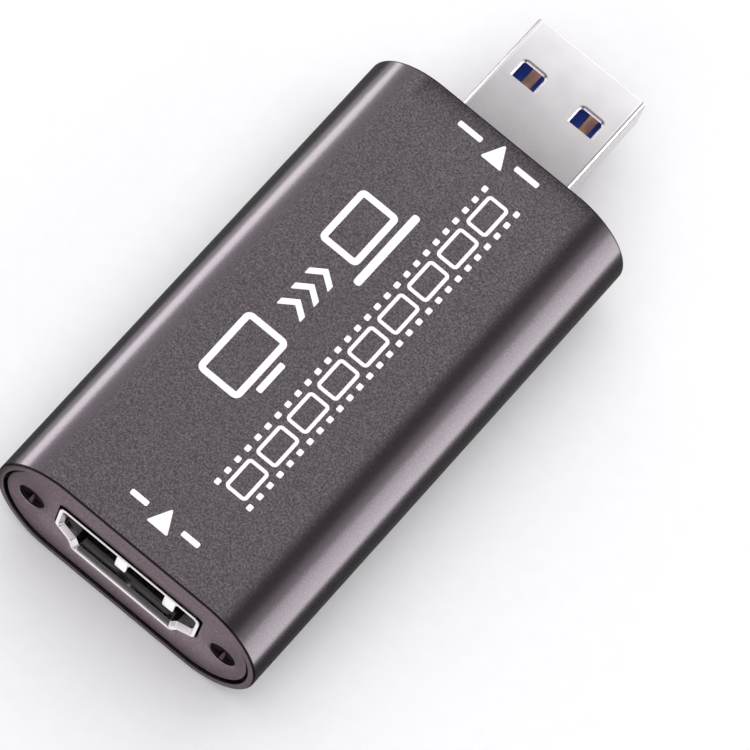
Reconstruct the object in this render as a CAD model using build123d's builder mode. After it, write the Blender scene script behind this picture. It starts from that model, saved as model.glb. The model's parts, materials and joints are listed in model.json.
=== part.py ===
from build123d import *
import os

# Video capture stick.
# An extruded metal sleeve closed by two screwed end plates. A display-cable socket sits in the
# input plate, a flat computer plug stands out of the output plate, and the capture board that
# carries both lies between them in slots of the sleeve.
# Frame: +Z up from the resting face, +Y from the input socket to the output plug, +X to the
# right as seen from the input end. The origin is below the middle of the whole length.
# All sizes are in millimetres.

# Driving sizes of the whole
body_length = 51.0
body_width = 28.0
body_height = 13.0
plug_reach = 13.0
cut_overrun = 1.0
seat_gap = 0.025

# Sleeve
sleeve_wall = 1.2
rim_wall = 0.7
rim_chamfer = 0.2
port_wall = 1.1
port_web = 1.2
port_slit = 0.7
slot_rib = 0.7
slot_hold = 1.4

# End plates
plate_thickness = 1.2
plate_recess = 0.1
plate_gap = 0.1
plate_chamfer = 0.12
mouth_gap = 0.08

# End screws
# Where a screw stands on the land between the socket's lip and the sleeve's edge
screw_place_share = 0.4455
screw_length = 5.4
screw_shank_radius = 0.75
screw_head_radius = 1.3
screw_sink = 0.1
screw_gap = 0.05
port_gap = 0.02
drive_span = 1.7
drive_width = 0.42
drive_depth = 0.5
sink_angle = 90

# Circuit board
board_side_inset = 2.0
board_thickness = 1.0
board_end_gap = 0.4
board_slot_gap = 0.08
leg_gap = 0.12
leg_reach = 0.6

# Input socket: stamped shell
opening_width = 14.0
opening_height = 4.55
shell_sheet = 0.3
shell_depth = 11.9
lip_length = 0.5
lip_flare = 0.3
lip_sheet = 0.3
shell_corner = 0.3
shell_leg_width = 1.6
shell_leg_depths = (3.2, 9.8)
shell_leg_top = 1.0
# Half of the mouth outline, from the top corner to the floor, as shares of half its size
mouth_outline_shares = ((1, 1), (1, -0.24), (0.79, -0.59), (0.72, -1))

# Input socket: springs stamped from the lip, where the photograph shows them along its top
spring_places = (-0.8, 4.4)
spring_width = 1.2
spring_sheet = 0.2
spring_drop = 2.6
spring_bend = 0.3
spring_run = 3.2
spring_end_drop = 0.15
spring_window_gap = 0.15
spring_window_start = 1.2

# Input socket: moulding and contacts
tongue_width = 11.2
tongue_thickness = 1.4
tongue_set_back = 1.7
tongue_length = 6.6
tongue_chamfer = 0.25
moulding_gap = 0.03
moulding_rear_gap = 0.2
contact_pitch = 1.0
upper_contact_count = 10
lower_contact_count = 9
contact_width = 0.3
contact_sheet = 0.2
contact_set_back = 0.5
contact_proud = 0.05
contact_gap = 0.02
contact_tail_gap = 0.25
contact_foot = 0.9
peg_radius = 0.5
peg_sides = 8
peg_spacing = 8.0

# Output plug: stamped shell
plug_width = 12.0
plug_height = 4.5
plug_sheet = 0.3
plug_root_length = 5.6
plug_corner = 0.5
plug_tip_chamfer = 0.18
window_width = 2.4
window_length = 1.9
window_spacing = 6.4
window_tip_distance = 5.15
window_corner = 0.3
window_chamfer = 0.2
seam_width = 0.08
seam_key_width = 1.6
seam_key_length = 2.2
plug_leg_width = 1.6
plug_leg_inset = 1.6
plug_leg_top = 1.2

# Output plug: moulding and contacts
blade_thickness = 1.9
blade_set_back = 0.5
blade_chamfer = 0.25
blade_gap = 0.04
cavity_depth = 11.9
foot_length = 1.3
foot_gap = 0.1
long_contact_width = 1.0
inner_contact_spacing = 2.0
long_contact_set_back = 1.1
short_contact_width = 0.7
short_contact_pitch = 2.0
short_contact_count = 5
short_contact_lift = 0.32
short_contact_crest = 0.25
short_contact_run = 3.0
short_contact_tail_gap = 1.5

# Capture chip and small chips with formed leads
lead_sheet = 0.12
chip_side = 7.0
chip_height = 1.4
chip_standoff = 0.1
chip_lead_count = 6
chip_lead_pitch = 1.0
chip_lead_width = 0.4
chip_lead_reach = 1.0
memory_width = 4.9
memory_length = 3.9
memory_height = 1.4
memory_lead_count = 4
memory_lead_pitch = 1.27
memory_lead_width = 0.42
regulator_width = 2.9
regulator_length = 1.6
regulator_height = 1.1
regulator_lead_count = 3
regulator_lead_pitch = 0.95
regulator_lead_width = 0.4
small_lead_reach = 0.85
chip_corner = 0.15
pin_mark_radius = 0.35
pin_mark_depth = 0.08
pin_mark_inset = 0.9

# Other board parts
crystal_width = 2.5
crystal_length = 3.2
crystal_base = 0.35
crystal_height = 0.8
crystal_step = 0.25
coil_side = 4.0
coil_height = 1.9
coil_corner = 0.5
coil_pad = 0.9
coil_pad_proud = 0.12
guard_width = 2.5
guard_length = 1.0
guard_height = 0.5
guard_pitch = 3.2
guard_count = 4
chip_cap_length = 1.0
chip_cap_width = 0.5
chip_cap_height = 0.5
large_cap_length = 1.6
large_cap_width = 0.8
large_cap_height = 0.8
resistor_height = 0.35
cap_end_share = 0.25
cap_end_proud = 0.02
# Places on the free deck of the board, as shares of its half width and of its length
chip_place_share = (0, 0.42)
memory_place_share = (0.56, 0.80)
coil_place_share = (-0.62, 0.82)
regulator_place_shares = ((-0.70, 0.60), (-0.06, 0.86))
small_cap_place_shares = ((-0.58, 0.20), (0.72, 0.56), (0.86, 0.56), (-0.10, 0.69), (0.10, 0.69))
resistor_place_shares = ((-0.60, 0.10), (0, 0.10), (0.60, 0.10), (0.62, 0.62), (0.78, 0.62))
large_cap_place_shares = ((-0.60, 0.96), (-0.30, 0.96), (0, 0.96), (0.30, 0.96))
# Places beside the capture chip, as shares of the free strip outside its leads and of the deck's
# length. A share below zero counts from the chip towards the left.
crystal_side_share = (0.50, 0.43)
small_cap_side_shares = ((-0.14, 0.28), (-0.14, 0.36), (-0.14, 0.44), (0.14, 0.28))
resistor_side_shares = ((-0.80, 0.36), (-0.80, 0.42), (0.62, 0.28), (0.62, 0.34))
bead_side_shares = ((-0.45, 0.30), (-0.45, 0.40))

# Places along the length
whole_length = body_length + plug_reach
input_face_y = -whole_length / 2
output_face_y = input_face_y + body_length
plug_tip_y = output_face_y + plug_reach
pocket_depth = plate_recess + plate_thickness
plate_margin = rim_wall + plate_gap
input_plate_y = input_face_y + plate_recess
output_plate_y = output_face_y - plate_recess
board_start_y = input_face_y + pocket_depth + board_end_gap
board_end_y = output_face_y - pocket_depth - board_end_gap
ends = (("input", input_plate_y, -1), ("output", output_plate_y, 1))

# Heights from the middle of the body
middle_height = body_height / 2
opening_half_width = opening_width / 2
opening_half_height = opening_height / 2
shell_half_width = opening_half_width + shell_sheet
shell_half_height = opening_half_height + shell_sheet
lip_half_width = opening_half_width + lip_flare + lip_sheet
lip_half_height = opening_half_height + lip_flare + lip_sheet
board_top = -shell_half_height - seat_gap
board_floor = board_top - board_thickness
leg_floor = board_floor - leg_reach
cavity_width = body_width - 2 * sleeve_wall
cavity_height = body_height - 2 * sleeve_wall
board_width = cavity_width - 2 * board_side_inset
port_x = lip_half_width + screw_place_share * (body_width / 2 - lip_half_width)
screw_spacing = 2 * port_x
port_bore = screw_shank_radius + port_gap

# Socket places
lip_y = input_face_y
lip_end_y = lip_y + lip_length
shell_end_y = lip_y + shell_depth
tongue_y = lip_y + tongue_set_back
tongue_end_y = tongue_y + tongue_length
moulding_end_y = shell_end_y - moulding_rear_gap
contact_level = tongue_thickness / 2 + contact_proud - contact_sheet / 2
contact_start_y = tongue_y + contact_set_back
contact_tail_y = shell_end_y + contact_tail_gap
contact_end_y = contact_tail_y + contact_foot

# Plug places
plug_shell_length = plug_reach + plug_root_length
plug_start_y = plug_tip_y - plug_shell_length
plug_inner_width = plug_width - 2 * plug_sheet
plug_inner_height = plug_height - 2 * plug_sheet
plug_floor = -plug_inner_height / 2
blade_top = plug_floor + blade_thickness
cavity_end_y = plug_tip_y - cavity_depth
foot_end_y = plug_start_y - foot_gap
foot_start_y = foot_end_y - foot_length
long_level = blade_top + contact_proud - contact_sheet / 2
short_level = blade_top + short_contact_lift
long_tail_y = foot_start_y - contact_tail_gap
long_end_y = long_tail_y - contact_foot
short_tail_y = foot_start_y - short_contact_tail_gap
short_end_y = short_tail_y - contact_foot
plug_leg_y = plug_start_y + plug_leg_inset
# The outer two long contacts stand behind the windows
outer_contact_place = window_spacing / 2
inner_contact_place = inner_contact_spacing / 2
long_contact_places = (-outer_contact_place, -inner_contact_place, inner_contact_place, outer_contact_place)

# Free deck of the board: clear of the slots, and between the feet of the contacts at both ends
deck_start_y = contact_end_y
deck_length = short_end_y - deck_start_y
deck_half_width = board_width / 2 - slot_hold
chip_lead_edge = chip_side / 2 + chip_lead_reach


def end_plane(y, outward):
    """Plane square to the length at y, facing along outward, with the height up."""
    return Plane(origin=(0, y, middle_height), x_dir=(-outward, 0, 0), z_dir=(0, outward, 0))


def station(y):
    """Plane square to the length at y, so that a positive extrusion runs towards the plug."""
    return end_plane(y, 1)


def side_view(x):
    """Plane square to the width at x, with the length across and the height up."""
    return Plane(origin=(x, 0, middle_height), x_dir=(0, 1, 0), z_dir=(1, 0, 0))


def deck(height):
    """Level plane at a height from the middle of the body."""
    return Plane.XY.offset(middle_height + height)


def on_deck(place_share):
    """Place on the free deck of the board from its shares."""
    across_share, along_share = place_share
    return (across_share * deck_half_width, deck_start_y + along_share * deck_length)


def beside_chip(side_share):
    """Place beside the capture chip from its shares of the free strip outside the leads."""
    across_share, along_share = side_share
    strip_width = deck_half_width - chip_lead_edge
    distance = chip_lead_edge + abs(across_share) * strip_width
    return (distance if across_share > 0 else -distance, deck_start_y + along_share * deck_length)


def mouth_section(y, half_width, half_height):
    """Return the socket's mouth outline at y: wide above, stepping in to a narrower floor."""
    right = [(x_share * half_width, z_share * half_height) for x_share, z_share in mouth_outline_shares]
    left = [(-x, z) for x, z in reversed(right)]
    with BuildSketch(station(y)) as section:
        with BuildLine():
            Polyline(*right, *left, close=True)
        make_face()
        fillet(section.vertices(), shell_corner)
    return section.sketch


def plug_section(y, growth):
    """Return the plug shell's outer outline at y, grown by this much on each side."""
    with BuildSketch(station(y)) as section:
        RectangleRounded(plug_width + 2 * growth, plug_height + 2 * growth, plug_corner + growth)
    return section.sketch


def strip(x, width, *points):
    """Extrude a strip of contact sheet of this width, centred on x, along points in side view."""
    with BuildSketch(side_view(x)) as outline:
        with BuildLine():
            Polyline(*points)
        trace(line_width=contact_sheet)
    extrude(outline.sketch, amount=width / 2, both=True)


def formed_leads(centre, body_half, lead_count, pitch, width, reach, height):
    """Extrude a row of formed leads on both long sides of a chip body."""
    centre_x, centre_y = centre
    first_x = centre_x - (lead_count - 1) * pitch / 2
    top = board_top + height / 2
    foot = board_top + lead_sheet / 2
    for number in range(lead_count):
        for side in (-1, 1):
            inner_y = centre_y + side * body_half
            knee_y = inner_y + side * reach / 2
            with BuildSketch(side_view(first_x + number * pitch)) as outline:
                with BuildLine():
                    Polyline((inner_y, top), (knee_y, top), (knee_y, foot), (inner_y + side * reach, foot))
                trace(line_width=lead_sheet)
            extrude(outline.sketch, amount=width / 2, both=True)


def chip_body(centre, width, length, height):
    """Extrude a moulded chip body with a chamfered top."""
    with BuildSketch(deck(board_top + chip_standoff)) as outline:
        with Locations(centre):
            Rectangle(width, length)
    body = extrude(outline.sketch, amount=height - chip_standoff)
    chamfer(body.faces().sort_by(Axis.Z)[-1].edges(), chip_corner)


def pin_dimple(centre, width, length, height):
    """Sink the dimple that marks a chip's first pin into its top."""
    with BuildSketch(deck(board_top + height)) as mark:
        with Locations((centre[0] - width / 2 + pin_mark_inset, centre[1] - length / 2 + pin_mark_inset)):
            Circle(pin_mark_radius)
    extrude(mark.sketch, amount=-pin_mark_depth, mode=Mode.SUBTRACT)


def chip_parts(places, length, width, height):
    """Extrude two-ended chip parts: a block between two slightly larger metal ends."""
    end_length = length * cap_end_share
    for place in places:
        with BuildSketch(deck(board_top)) as block:
            with Locations(place):
                Rectangle(width, length)
        extrude(block.sketch, amount=height)
        with BuildSketch(deck(board_top)) as metal_ends:
            with Locations(place):
                with GridLocations(0, length - end_length, 1, 2):
                    Rectangle(width + 2 * cap_end_proud, end_length)
        extrude(metal_ends.sketch, amount=height + cap_end_proud)


# Sleeve: one extrusion with board slots and screw ports, milled at both ends for the plates
with BuildPart() as sleeve:
    with BuildSketch(station(input_face_y)):
        SlotOverall(body_width, body_height)
        SlotOverall(cavity_width, cavity_height, mode=Mode.SUBTRACT)
        rib_length = cavity_width / 2 - board_width / 2 + slot_hold
        rib_x = cavity_width / 2 - rib_length / 2
        upper_rib = board_top + board_slot_gap + slot_rib / 2
        lower_rib = board_floor - board_slot_gap - slot_rib / 2
        with Locations((rib_x, upper_rib), (-rib_x, upper_rib), (rib_x, lower_rib), (-rib_x, lower_rib)):
            Rectangle(rib_length, slot_rib)
        web_length = cavity_width / 2 + sleeve_wall / 2 - port_x
        with Locations((port_x + web_length / 2, 0), (-port_x - web_length / 2, 0)):
            Rectangle(web_length, port_web)
        with GridLocations(screw_spacing, 0, 2, 1):
            Circle(port_bore + port_wall)
        SlotOverall(body_width, body_height, mode=Mode.INTERSECT)
        with GridLocations(screw_spacing, 0, 2, 1):
            Circle(port_bore, mode=Mode.SUBTRACT)
        slit_length = port_bore + port_wall
        with Locations((port_x - slit_length / 2, 0), (-port_x + slit_length / 2, 0)):
            Rectangle(slit_length, port_slit, mode=Mode.SUBTRACT)
    extrude(amount=body_length)
    for pocket_y in (input_face_y, output_face_y - pocket_depth):
        with BuildSketch(station(pocket_y)):
            SlotOverall(body_width - 2 * rim_wall, body_height - 2 * rim_wall)
        extrude(amount=pocket_depth, mode=Mode.SUBTRACT)
    for rim in (sleeve.faces().sort_by(Axis.Y)[0], sleeve.faces().sort_by(Axis.Y)[-1]):
        chamfer(rim.outer_wire().edges(), rim_chamfer)
sleeve.part.label = "sleeve"

# End plates: each drops into the milled end, with countersunk holes over the screw ports
end_plates = {}
for end_name, plate_y, outward in ends:
    with BuildPart() as end_plate:
        with BuildSketch(end_plane(plate_y, outward)):
            SlotOverall(body_width - 2 * plate_margin, body_height - 2 * plate_margin)
        extrude(amount=-plate_thickness)
        outer_face = end_plate.faces().sort_by(Axis((0, 0, 0), (0, outward, 0)))[-1]
        chamfer(outer_face.outer_wire().edges(), plate_chamfer)
        with Locations(end_plane(plate_y, outward)):
            with GridLocations(screw_spacing, 0, 2, 1):
                CounterSinkHole(
                    screw_shank_radius + screw_gap,
                    screw_head_radius + screw_gap + screw_sink,
                    counter_sink_angle=sink_angle,
                )
        if end_name == "input":
            opening_y = plate_y - cut_overrun
            opening = mouth_section(opening_y, lip_half_width + mouth_gap, lip_half_height + mouth_gap)
        else:
            opening_y = plate_y - plate_thickness - cut_overrun
            opening = plug_section(opening_y, mouth_gap)
        extrude(opening, amount=plate_thickness + 2 * cut_overrun, mode=Mode.SUBTRACT)
    end_plates[end_name] = end_plate
input_end_plate = end_plates["input"]
output_end_plate = end_plates["output"]
input_end_plate.part.label = "input_end_plate"
output_end_plate.part.label = "output_end_plate"

# End screws: two countersunk screws with a cross drive at each end
end_screws = {}
for end_name, plate_y, outward in ends:
    head_y = plate_y - outward * screw_sink
    cone_depth = screw_head_radius - screw_shank_radius
    neck_y = head_y - outward * cone_depth
    tip_y = head_y - outward * screw_length
    with BuildPart() as screws:
        with BuildSketch(side_view(port_x)):
            with BuildLine():
                Polyline(
                    (head_y, 0),
                    (head_y, screw_head_radius),
                    (neck_y, screw_shank_radius),
                    (tip_y, screw_shank_radius),
                    (tip_y, 0),
                    close=True,
                )
            make_face()
        revolve(axis=Axis((port_x, 0, middle_height), (0, 1, 0)))
        with BuildSketch(end_plane(head_y, outward)):
            with Locations((-outward * port_x, 0)):
                Rectangle(drive_span, drive_width)
                Rectangle(drive_width, drive_span)
        extrude(amount=-drive_depth, mode=Mode.SUBTRACT)
        mirror(about=Plane.YZ)
    end_screws[end_name] = screws
input_end_screws = end_screws["input"]
output_end_screws = end_screws["output"]
input_end_screws.part.label = "input_end_screws"
output_end_screws.part.label = "output_end_screws"

# Circuit board: slotted for the legs of both shells and holed for the socket's pegs
socket_leg_x = opening_half_width + shell_sheet / 2
plug_leg_x = plug_width / 2 - plug_sheet / 2
peg_y = (tongue_end_y + moulding_end_y) / 2
with BuildPart() as circuit_board:
    with BuildSketch(deck(board_floor)):
        with Locations((0, (board_start_y + board_end_y) / 2)):
            Rectangle(board_width, board_end_y - board_start_y)
        for leg_depth in shell_leg_depths:
            with Locations((socket_leg_x, lip_y + leg_depth), (-socket_leg_x, lip_y + leg_depth)):
                Rectangle(shell_sheet + 2 * leg_gap, shell_leg_width + 2 * leg_gap, mode=Mode.SUBTRACT)
        with Locations((plug_leg_x, plug_leg_y), (-plug_leg_x, plug_leg_y)):
            Rectangle(plug_sheet + 2 * leg_gap, plug_leg_width + 2 * leg_gap, mode=Mode.SUBTRACT)
        with Locations((peg_spacing / 2, peg_y), (-peg_spacing / 2, peg_y)):
            RegularPolygon(peg_radius + moulding_gap, peg_sides, mode=Mode.SUBTRACT)
    extrude(amount=board_thickness)
circuit_board.part.label = "circuit_board"

# One mouth spring, stamped from the lip: it drops from the lip's edge and runs back to a free end.
# It is made in the middle, and the shell takes a copy at each place.
spring_root_z = opening_half_height + lip_flare
spring_low_z = spring_root_z - spring_drop
with BuildPart() as mouth_spring:
    with BuildSketch(side_view(0)):
        with BuildLine():
            FilletPolyline(
                (lip_y + spring_sheet, spring_root_z + lip_sheet / 2),
                (lip_y + spring_sheet, spring_low_z),
                (lip_y + spring_run, opening_half_height - spring_end_drop),
                radius=spring_bend,
            )
        trace(line_width=spring_sheet)
    extrude(amount=spring_width / 2, both=True)
    spring_bottom_z = mouth_spring.part.bounding_box().min.Z - middle_height
    capsule_length = 2 * (spring_root_z + lip_sheet - spring_bottom_z)
    with BuildSketch(station(lip_y - cut_overrun)):
        with Locations((0, spring_bottom_z + capsule_length / 2)):
            SlotOverall(capsule_length, spring_width, rotation=90)
    extrude(amount=spring_run + 2 * cut_overrun, mode=Mode.INTERSECT)

# Input socket shell: flared lip, stepped floor corners, two springs and four board legs
with BuildPart() as input_socket_shell:
    lip_outside = mouth_section(lip_y, lip_half_width, lip_half_height)
    tube_outside = mouth_section(lip_end_y, shell_half_width, shell_half_height)
    lip_inside = mouth_section(lip_y, opening_half_width + lip_flare, opening_half_height + lip_flare)
    tube_inside = mouth_section(lip_end_y, opening_half_width, opening_half_height)
    loft([lip_outside, tube_outside], ruled=True)
    extrude(tube_outside, amount=shell_depth - lip_length)
    loft([lip_inside, tube_inside], ruled=True, mode=Mode.SUBTRACT)
    extrude(tube_inside, amount=shell_depth - lip_length, mode=Mode.SUBTRACT)
    window_end = spring_run + spring_window_gap
    with BuildSketch(deck(opening_half_height - cut_overrun)):
        spring_window_y = lip_y + (spring_window_start + window_end) / 2
        with Locations(*[(place, spring_window_y) for place in spring_places]):
            Rectangle(spring_width + 2 * spring_window_gap, window_end - spring_window_start)
    extrude(amount=shell_sheet + 2 * cut_overrun, mode=Mode.SUBTRACT)
    for leg_depth in shell_leg_depths:
        with BuildSketch(side_view(opening_half_width)):
            with Locations((lip_y + leg_depth, (shell_leg_top + leg_floor) / 2)):
                Rectangle(shell_leg_width, shell_leg_top - leg_floor)
        extrude(amount=shell_sheet)
        with BuildSketch(side_view(-opening_half_width)):
            with Locations((lip_y + leg_depth, (shell_leg_top + leg_floor) / 2)):
                Rectangle(shell_leg_width, shell_leg_top - leg_floor)
        extrude(amount=-shell_sheet)
    for place in spring_places:
        add(Pos(place, 0, 0) * mouth_spring.part)
input_socket_shell.part.label = "input_socket_shell"

# Input socket moulding: rear block, centre tongue, contact slots and two board pegs
with BuildPart() as input_socket_moulding:
    block = mouth_section(tongue_end_y, opening_half_width - moulding_gap, opening_half_height - moulding_gap)
    extrude(block, amount=moulding_end_y - tongue_end_y)
    with BuildSketch(station(tongue_y)):
        Rectangle(tongue_width, tongue_thickness)
    extrude(amount=tongue_length)
    chamfer(input_socket_moulding.edges().filter_by(Axis.X).group_by(Axis.Y)[0], tongue_chamfer)
    slot_width = contact_width + 2 * contact_gap
    slot_height = contact_sheet + 2 * contact_gap
    with BuildSketch(station(contact_start_y - contact_gap)):
        with Locations((0, contact_level)):
            with GridLocations(contact_pitch, 0, upper_contact_count, 1):
                Rectangle(slot_width, slot_height)
        with Locations((0, -contact_level)):
            with GridLocations(contact_pitch, 0, lower_contact_count, 1):
                Rectangle(slot_width, slot_height)
    extrude(amount=shell_depth, mode=Mode.SUBTRACT)
input_socket_moulding.part.label = "input_socket_moulding"

# Input socket pegs: eight-sided, they stand under the moulding's floor and locate it in the board
with BuildPart() as input_socket_pegs:
    with BuildSketch(deck(board_floor)):
        with Locations((0, peg_y)):
            with GridLocations(peg_spacing, 0, 2, 1):
                RegularPolygon(peg_radius, peg_sides)
    extrude(amount=board_thickness + seat_gap)
input_socket_pegs.part.label = "input_socket_pegs"

# Input socket contacts: an upper row of ten and a lower row of nine, half a pitch apart
foot_level = board_top + contact_sheet / 2
with BuildPart() as input_upper_contacts:
    for number in range(upper_contact_count):
        strip(
            (number - (upper_contact_count - 1) / 2) * contact_pitch,
            contact_width,
            (contact_start_y, contact_level),
            (contact_tail_y, contact_level),
            (contact_tail_y, foot_level),
            (contact_end_y, foot_level),
        )
input_upper_contacts.part.label = "input_upper_contacts"

with BuildPart() as input_lower_contacts:
    for number in range(lower_contact_count):
        strip(
            (number - (lower_contact_count - 1) / 2) * contact_pitch,
            contact_width,
            (contact_start_y, -contact_level),
            (contact_tail_y, -contact_level),
            (contact_tail_y, foot_level),
            (contact_end_y, foot_level),
        )
input_lower_contacts.part.label = "input_lower_contacts"

# Output plug shell: folded tube with two windows above and below, a keyed seam and two legs.
# The upper windows are pressed in with a bevel on every side but the one towards the body.
with BuildPart() as output_plug_shell:
    extrude(plug_section(plug_start_y, 0), amount=plug_shell_length)
    extrude(plug_section(plug_start_y, -plug_sheet), amount=plug_shell_length, mode=Mode.SUBTRACT)
    tip = output_plug_shell.faces().sort_by(Axis.Y)[-1]
    chamfer(tip.outer_wire().edges(), plug_tip_chamfer)
    with BuildSketch(deck(0)) as upper_windows:
        with Locations((0, plug_tip_y - window_tip_distance)):
            with GridLocations(window_spacing, 0, 2, 1):
                Rectangle(window_width, window_length)
        fillet(upper_windows.vertices().group_by(Axis.Y)[-1], window_corner)
    extrude(amount=plug_height / 2 + cut_overrun, mode=Mode.SUBTRACT)
    with BuildSketch(deck(-plug_height / 2 - cut_overrun)):
        with Locations((0, plug_tip_y - window_tip_distance)):
            with GridLocations(window_spacing, 0, 2, 1):
                Rectangle(window_width, window_length)
    extrude(amount=plug_sheet + 2 * cut_overrun, mode=Mode.SUBTRACT)
    upper_skin = output_plug_shell.faces().sort_by(Axis.Z)[-1]
    for window in upper_skin.inner_wires():
        chamfer(window.edges().sort_by(Axis.Y)[1:], window_chamfer)
    key_y = (plug_start_y + plug_tip_y) / 2
    with BuildSketch(deck(-plug_height / 2 - cut_overrun)):
        with BuildLine():
            Polyline(
                (0, plug_start_y - cut_overrun),
                (0, key_y - seam_key_length / 2),
                (seam_key_width / 2, key_y - seam_key_length / 2),
                (seam_key_width / 2, key_y + seam_key_length / 2),
                (0, key_y + seam_key_length / 2),
                (0, plug_tip_y + cut_overrun),
            )
        trace(line_width=seam_width)
    extrude(amount=plug_sheet + 2 * cut_overrun, mode=Mode.SUBTRACT)
    for side in (1, -1):
        with BuildSketch(side_view(side * (plug_width / 2 - plug_sheet))):
            with Locations((plug_leg_y, (plug_leg_top + leg_floor) / 2)):
                Rectangle(plug_leg_width, plug_leg_top - leg_floor)
        extrude(amount=side * plug_sheet)
output_plug_shell.part.label = "output_plug_shell"

# Output plug moulding: contact blade, block that fills the shell, and a foot on the board
with BuildPart() as output_plug_moulding:
    foot_floor = board_top + seat_gap
    foot_height = plug_inner_height / 2 - foot_floor
    with BuildSketch(station(foot_start_y)):
        with Locations((0, foot_floor + foot_height / 2)):
            Rectangle(plug_inner_width - 2 * blade_gap, foot_height)
    extrude(amount=foot_length)
    block = plug_section(foot_end_y, -plug_sheet - blade_gap)
    extrude(block, amount=plug_tip_y - blade_set_back - foot_end_y)
    with BuildSketch(station(cavity_end_y)):
        with Locations((0, blade_top + plug_height / 2)):
            Rectangle(plug_width, plug_height)
    extrude(amount=cavity_depth, mode=Mode.SUBTRACT)
    front_edges = output_plug_moulding.edges().filter_by(Axis.X).group_by(Axis.Y)[-1]
    chamfer(front_edges.sort_by(Axis.Z)[-1], blade_chamfer)
    long_slot_y = foot_start_y - cut_overrun
    long_start_y = plug_tip_y - long_contact_set_back
    with BuildSketch(station(long_slot_y)):
        with Locations(*[(place, long_level) for place in long_contact_places]):
            Rectangle(long_contact_width + 2 * contact_gap, contact_sheet + 2 * contact_gap)
    extrude(amount=long_start_y + contact_gap - long_slot_y, mode=Mode.SUBTRACT)
    with BuildSketch(station(long_slot_y)):
        with Locations((0, short_level)):
            with GridLocations(short_contact_pitch, 0, short_contact_count, 1):
                Rectangle(short_contact_width + 2 * contact_gap, contact_sheet + 2 * contact_gap)
    extrude(amount=cavity_end_y + cut_overrun - long_slot_y, mode=Mode.SUBTRACT)
output_plug_moulding.part.label = "output_plug_moulding"

# Output plug contacts: four long flat ones on the blade and five short sprung ones behind them
with BuildPart() as output_long_contacts:
    for place in long_contact_places:
        strip(
            place,
            long_contact_width,
            (long_start_y, long_level),
            (long_tail_y, long_level),
            (long_tail_y, foot_level),
            (long_end_y, foot_level),
        )
output_long_contacts.part.label = "output_long_contacts"

with BuildPart() as output_short_contacts:
    for number in range(short_contact_count):
        strip(
            (number - (short_contact_count - 1) / 2) * short_contact_pitch,
            short_contact_width,
            (cavity_end_y + short_contact_run, short_level),
            (cavity_end_y + short_contact_run / 2, short_level + short_contact_crest),
            (cavity_end_y, short_level),
            (short_tail_y, short_level),
            (short_tail_y, foot_level),
            (short_end_y, foot_level),
        )
output_short_contacts.part.label = "output_short_contacts"

# Capture chip, with leads on all four sides
chip_centre = on_deck(chip_place_share)
with BuildPart() as capture_chip:
    chip_body(chip_centre, chip_side, chip_side, chip_height)
    pin_dimple(chip_centre, chip_side, chip_side, chip_height)
capture_chip.part.label = "capture_chip"

with BuildPart() as capture_chip_leads:
    formed_leads(
        chip_centre,
        chip_side / 2,
        chip_lead_count,
        chip_lead_pitch,
        chip_lead_width,
        chip_lead_reach,
        chip_height,
    )
    chip_axis = Axis((chip_centre[0], chip_centre[1], 0), (0, 0, 1))
    add(capture_chip_leads.part.rotate(chip_axis, 90))
capture_chip_leads.part.label = "capture_chip_leads"

# Memory chip
memory_centre = on_deck(memory_place_share)
with BuildPart() as memory_chip:
    chip_body(memory_centre, memory_width, memory_length, memory_height)
    pin_dimple(memory_centre, memory_width, memory_length, memory_height)
memory_chip.part.label = "memory_chip"

with BuildPart() as memory_chip_leads:
    formed_leads(
        memory_centre,
        memory_length / 2,
        memory_lead_count,
        memory_lead_pitch,
        memory_lead_width,
        small_lead_reach,
        memory_height,
    )
memory_chip_leads.part.label = "memory_chip_leads"

# Voltage regulators
with BuildPart() as voltage_regulators:
    for place_share in regulator_place_shares:
        chip_body(on_deck(place_share), regulator_width, regulator_length, regulator_height)
voltage_regulators.part.label = "voltage_regulators"

with BuildPart() as regulator_leads:
    for place_share in regulator_place_shares:
        formed_leads(
            on_deck(place_share),
            regulator_length / 2,
            regulator_lead_count,
            regulator_lead_pitch,
            regulator_lead_width,
            small_lead_reach,
            regulator_height,
        )
regulator_leads.part.label = "regulator_leads"

# Crystal: a metal can on a slightly larger ceramic base
with BuildPart() as crystal:
    with BuildSketch(deck(board_top)):
        with Locations(beside_chip(crystal_side_share)):
            Rectangle(crystal_width, crystal_length)
    extrude(amount=crystal_base)
    with BuildSketch(deck(board_top + crystal_base)):
        with Locations(beside_chip(crystal_side_share)):
            lid_width = crystal_width - 2 * crystal_step
            lid_length = crystal_length - 2 * crystal_step
            Rectangle(lid_width, lid_length)
    extrude(amount=crystal_height - crystal_base)
crystal.part.label = "crystal"

# Power coil: a pressed block with bevelled corners between two end clips
with BuildPart() as power_coil:
    with BuildSketch(deck(board_top + coil_pad_proud)) as coil_outline:
        with Locations(on_deck(coil_place_share)):
            Rectangle(coil_side, coil_side)
        chamfer(coil_outline.vertices(), coil_corner)
    extrude(amount=coil_height - coil_pad_proud)
    with BuildSketch(deck(board_top)):
        with Locations(on_deck(coil_place_share)):
            with GridLocations(0, coil_side, 1, 2):
                Rectangle(coil_side / 2, coil_pad)
    extrude(amount=coil_height / 2)
power_coil.part.label = "power_coil"

# Surge guards: flat arrays behind the socket, one to each group of signal pairs
guard_y = deck_start_y + guard_length
guard_places = [((number - (guard_count - 1) / 2) * guard_pitch, guard_y) for number in range(guard_count)]
with BuildPart() as surge_guards:
    chip_parts(guard_places, guard_length, guard_width, guard_height)
surge_guards.part.label = "surge_guards"

# Two-ended chip parts
small_cap_places = [on_deck(share) for share in small_cap_place_shares]
small_cap_places += [beside_chip(share) for share in small_cap_side_shares]
with BuildPart() as small_capacitors:
    chip_parts(small_cap_places, chip_cap_length, chip_cap_width, chip_cap_height)
small_capacitors.part.label = "small_capacitors"

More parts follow.
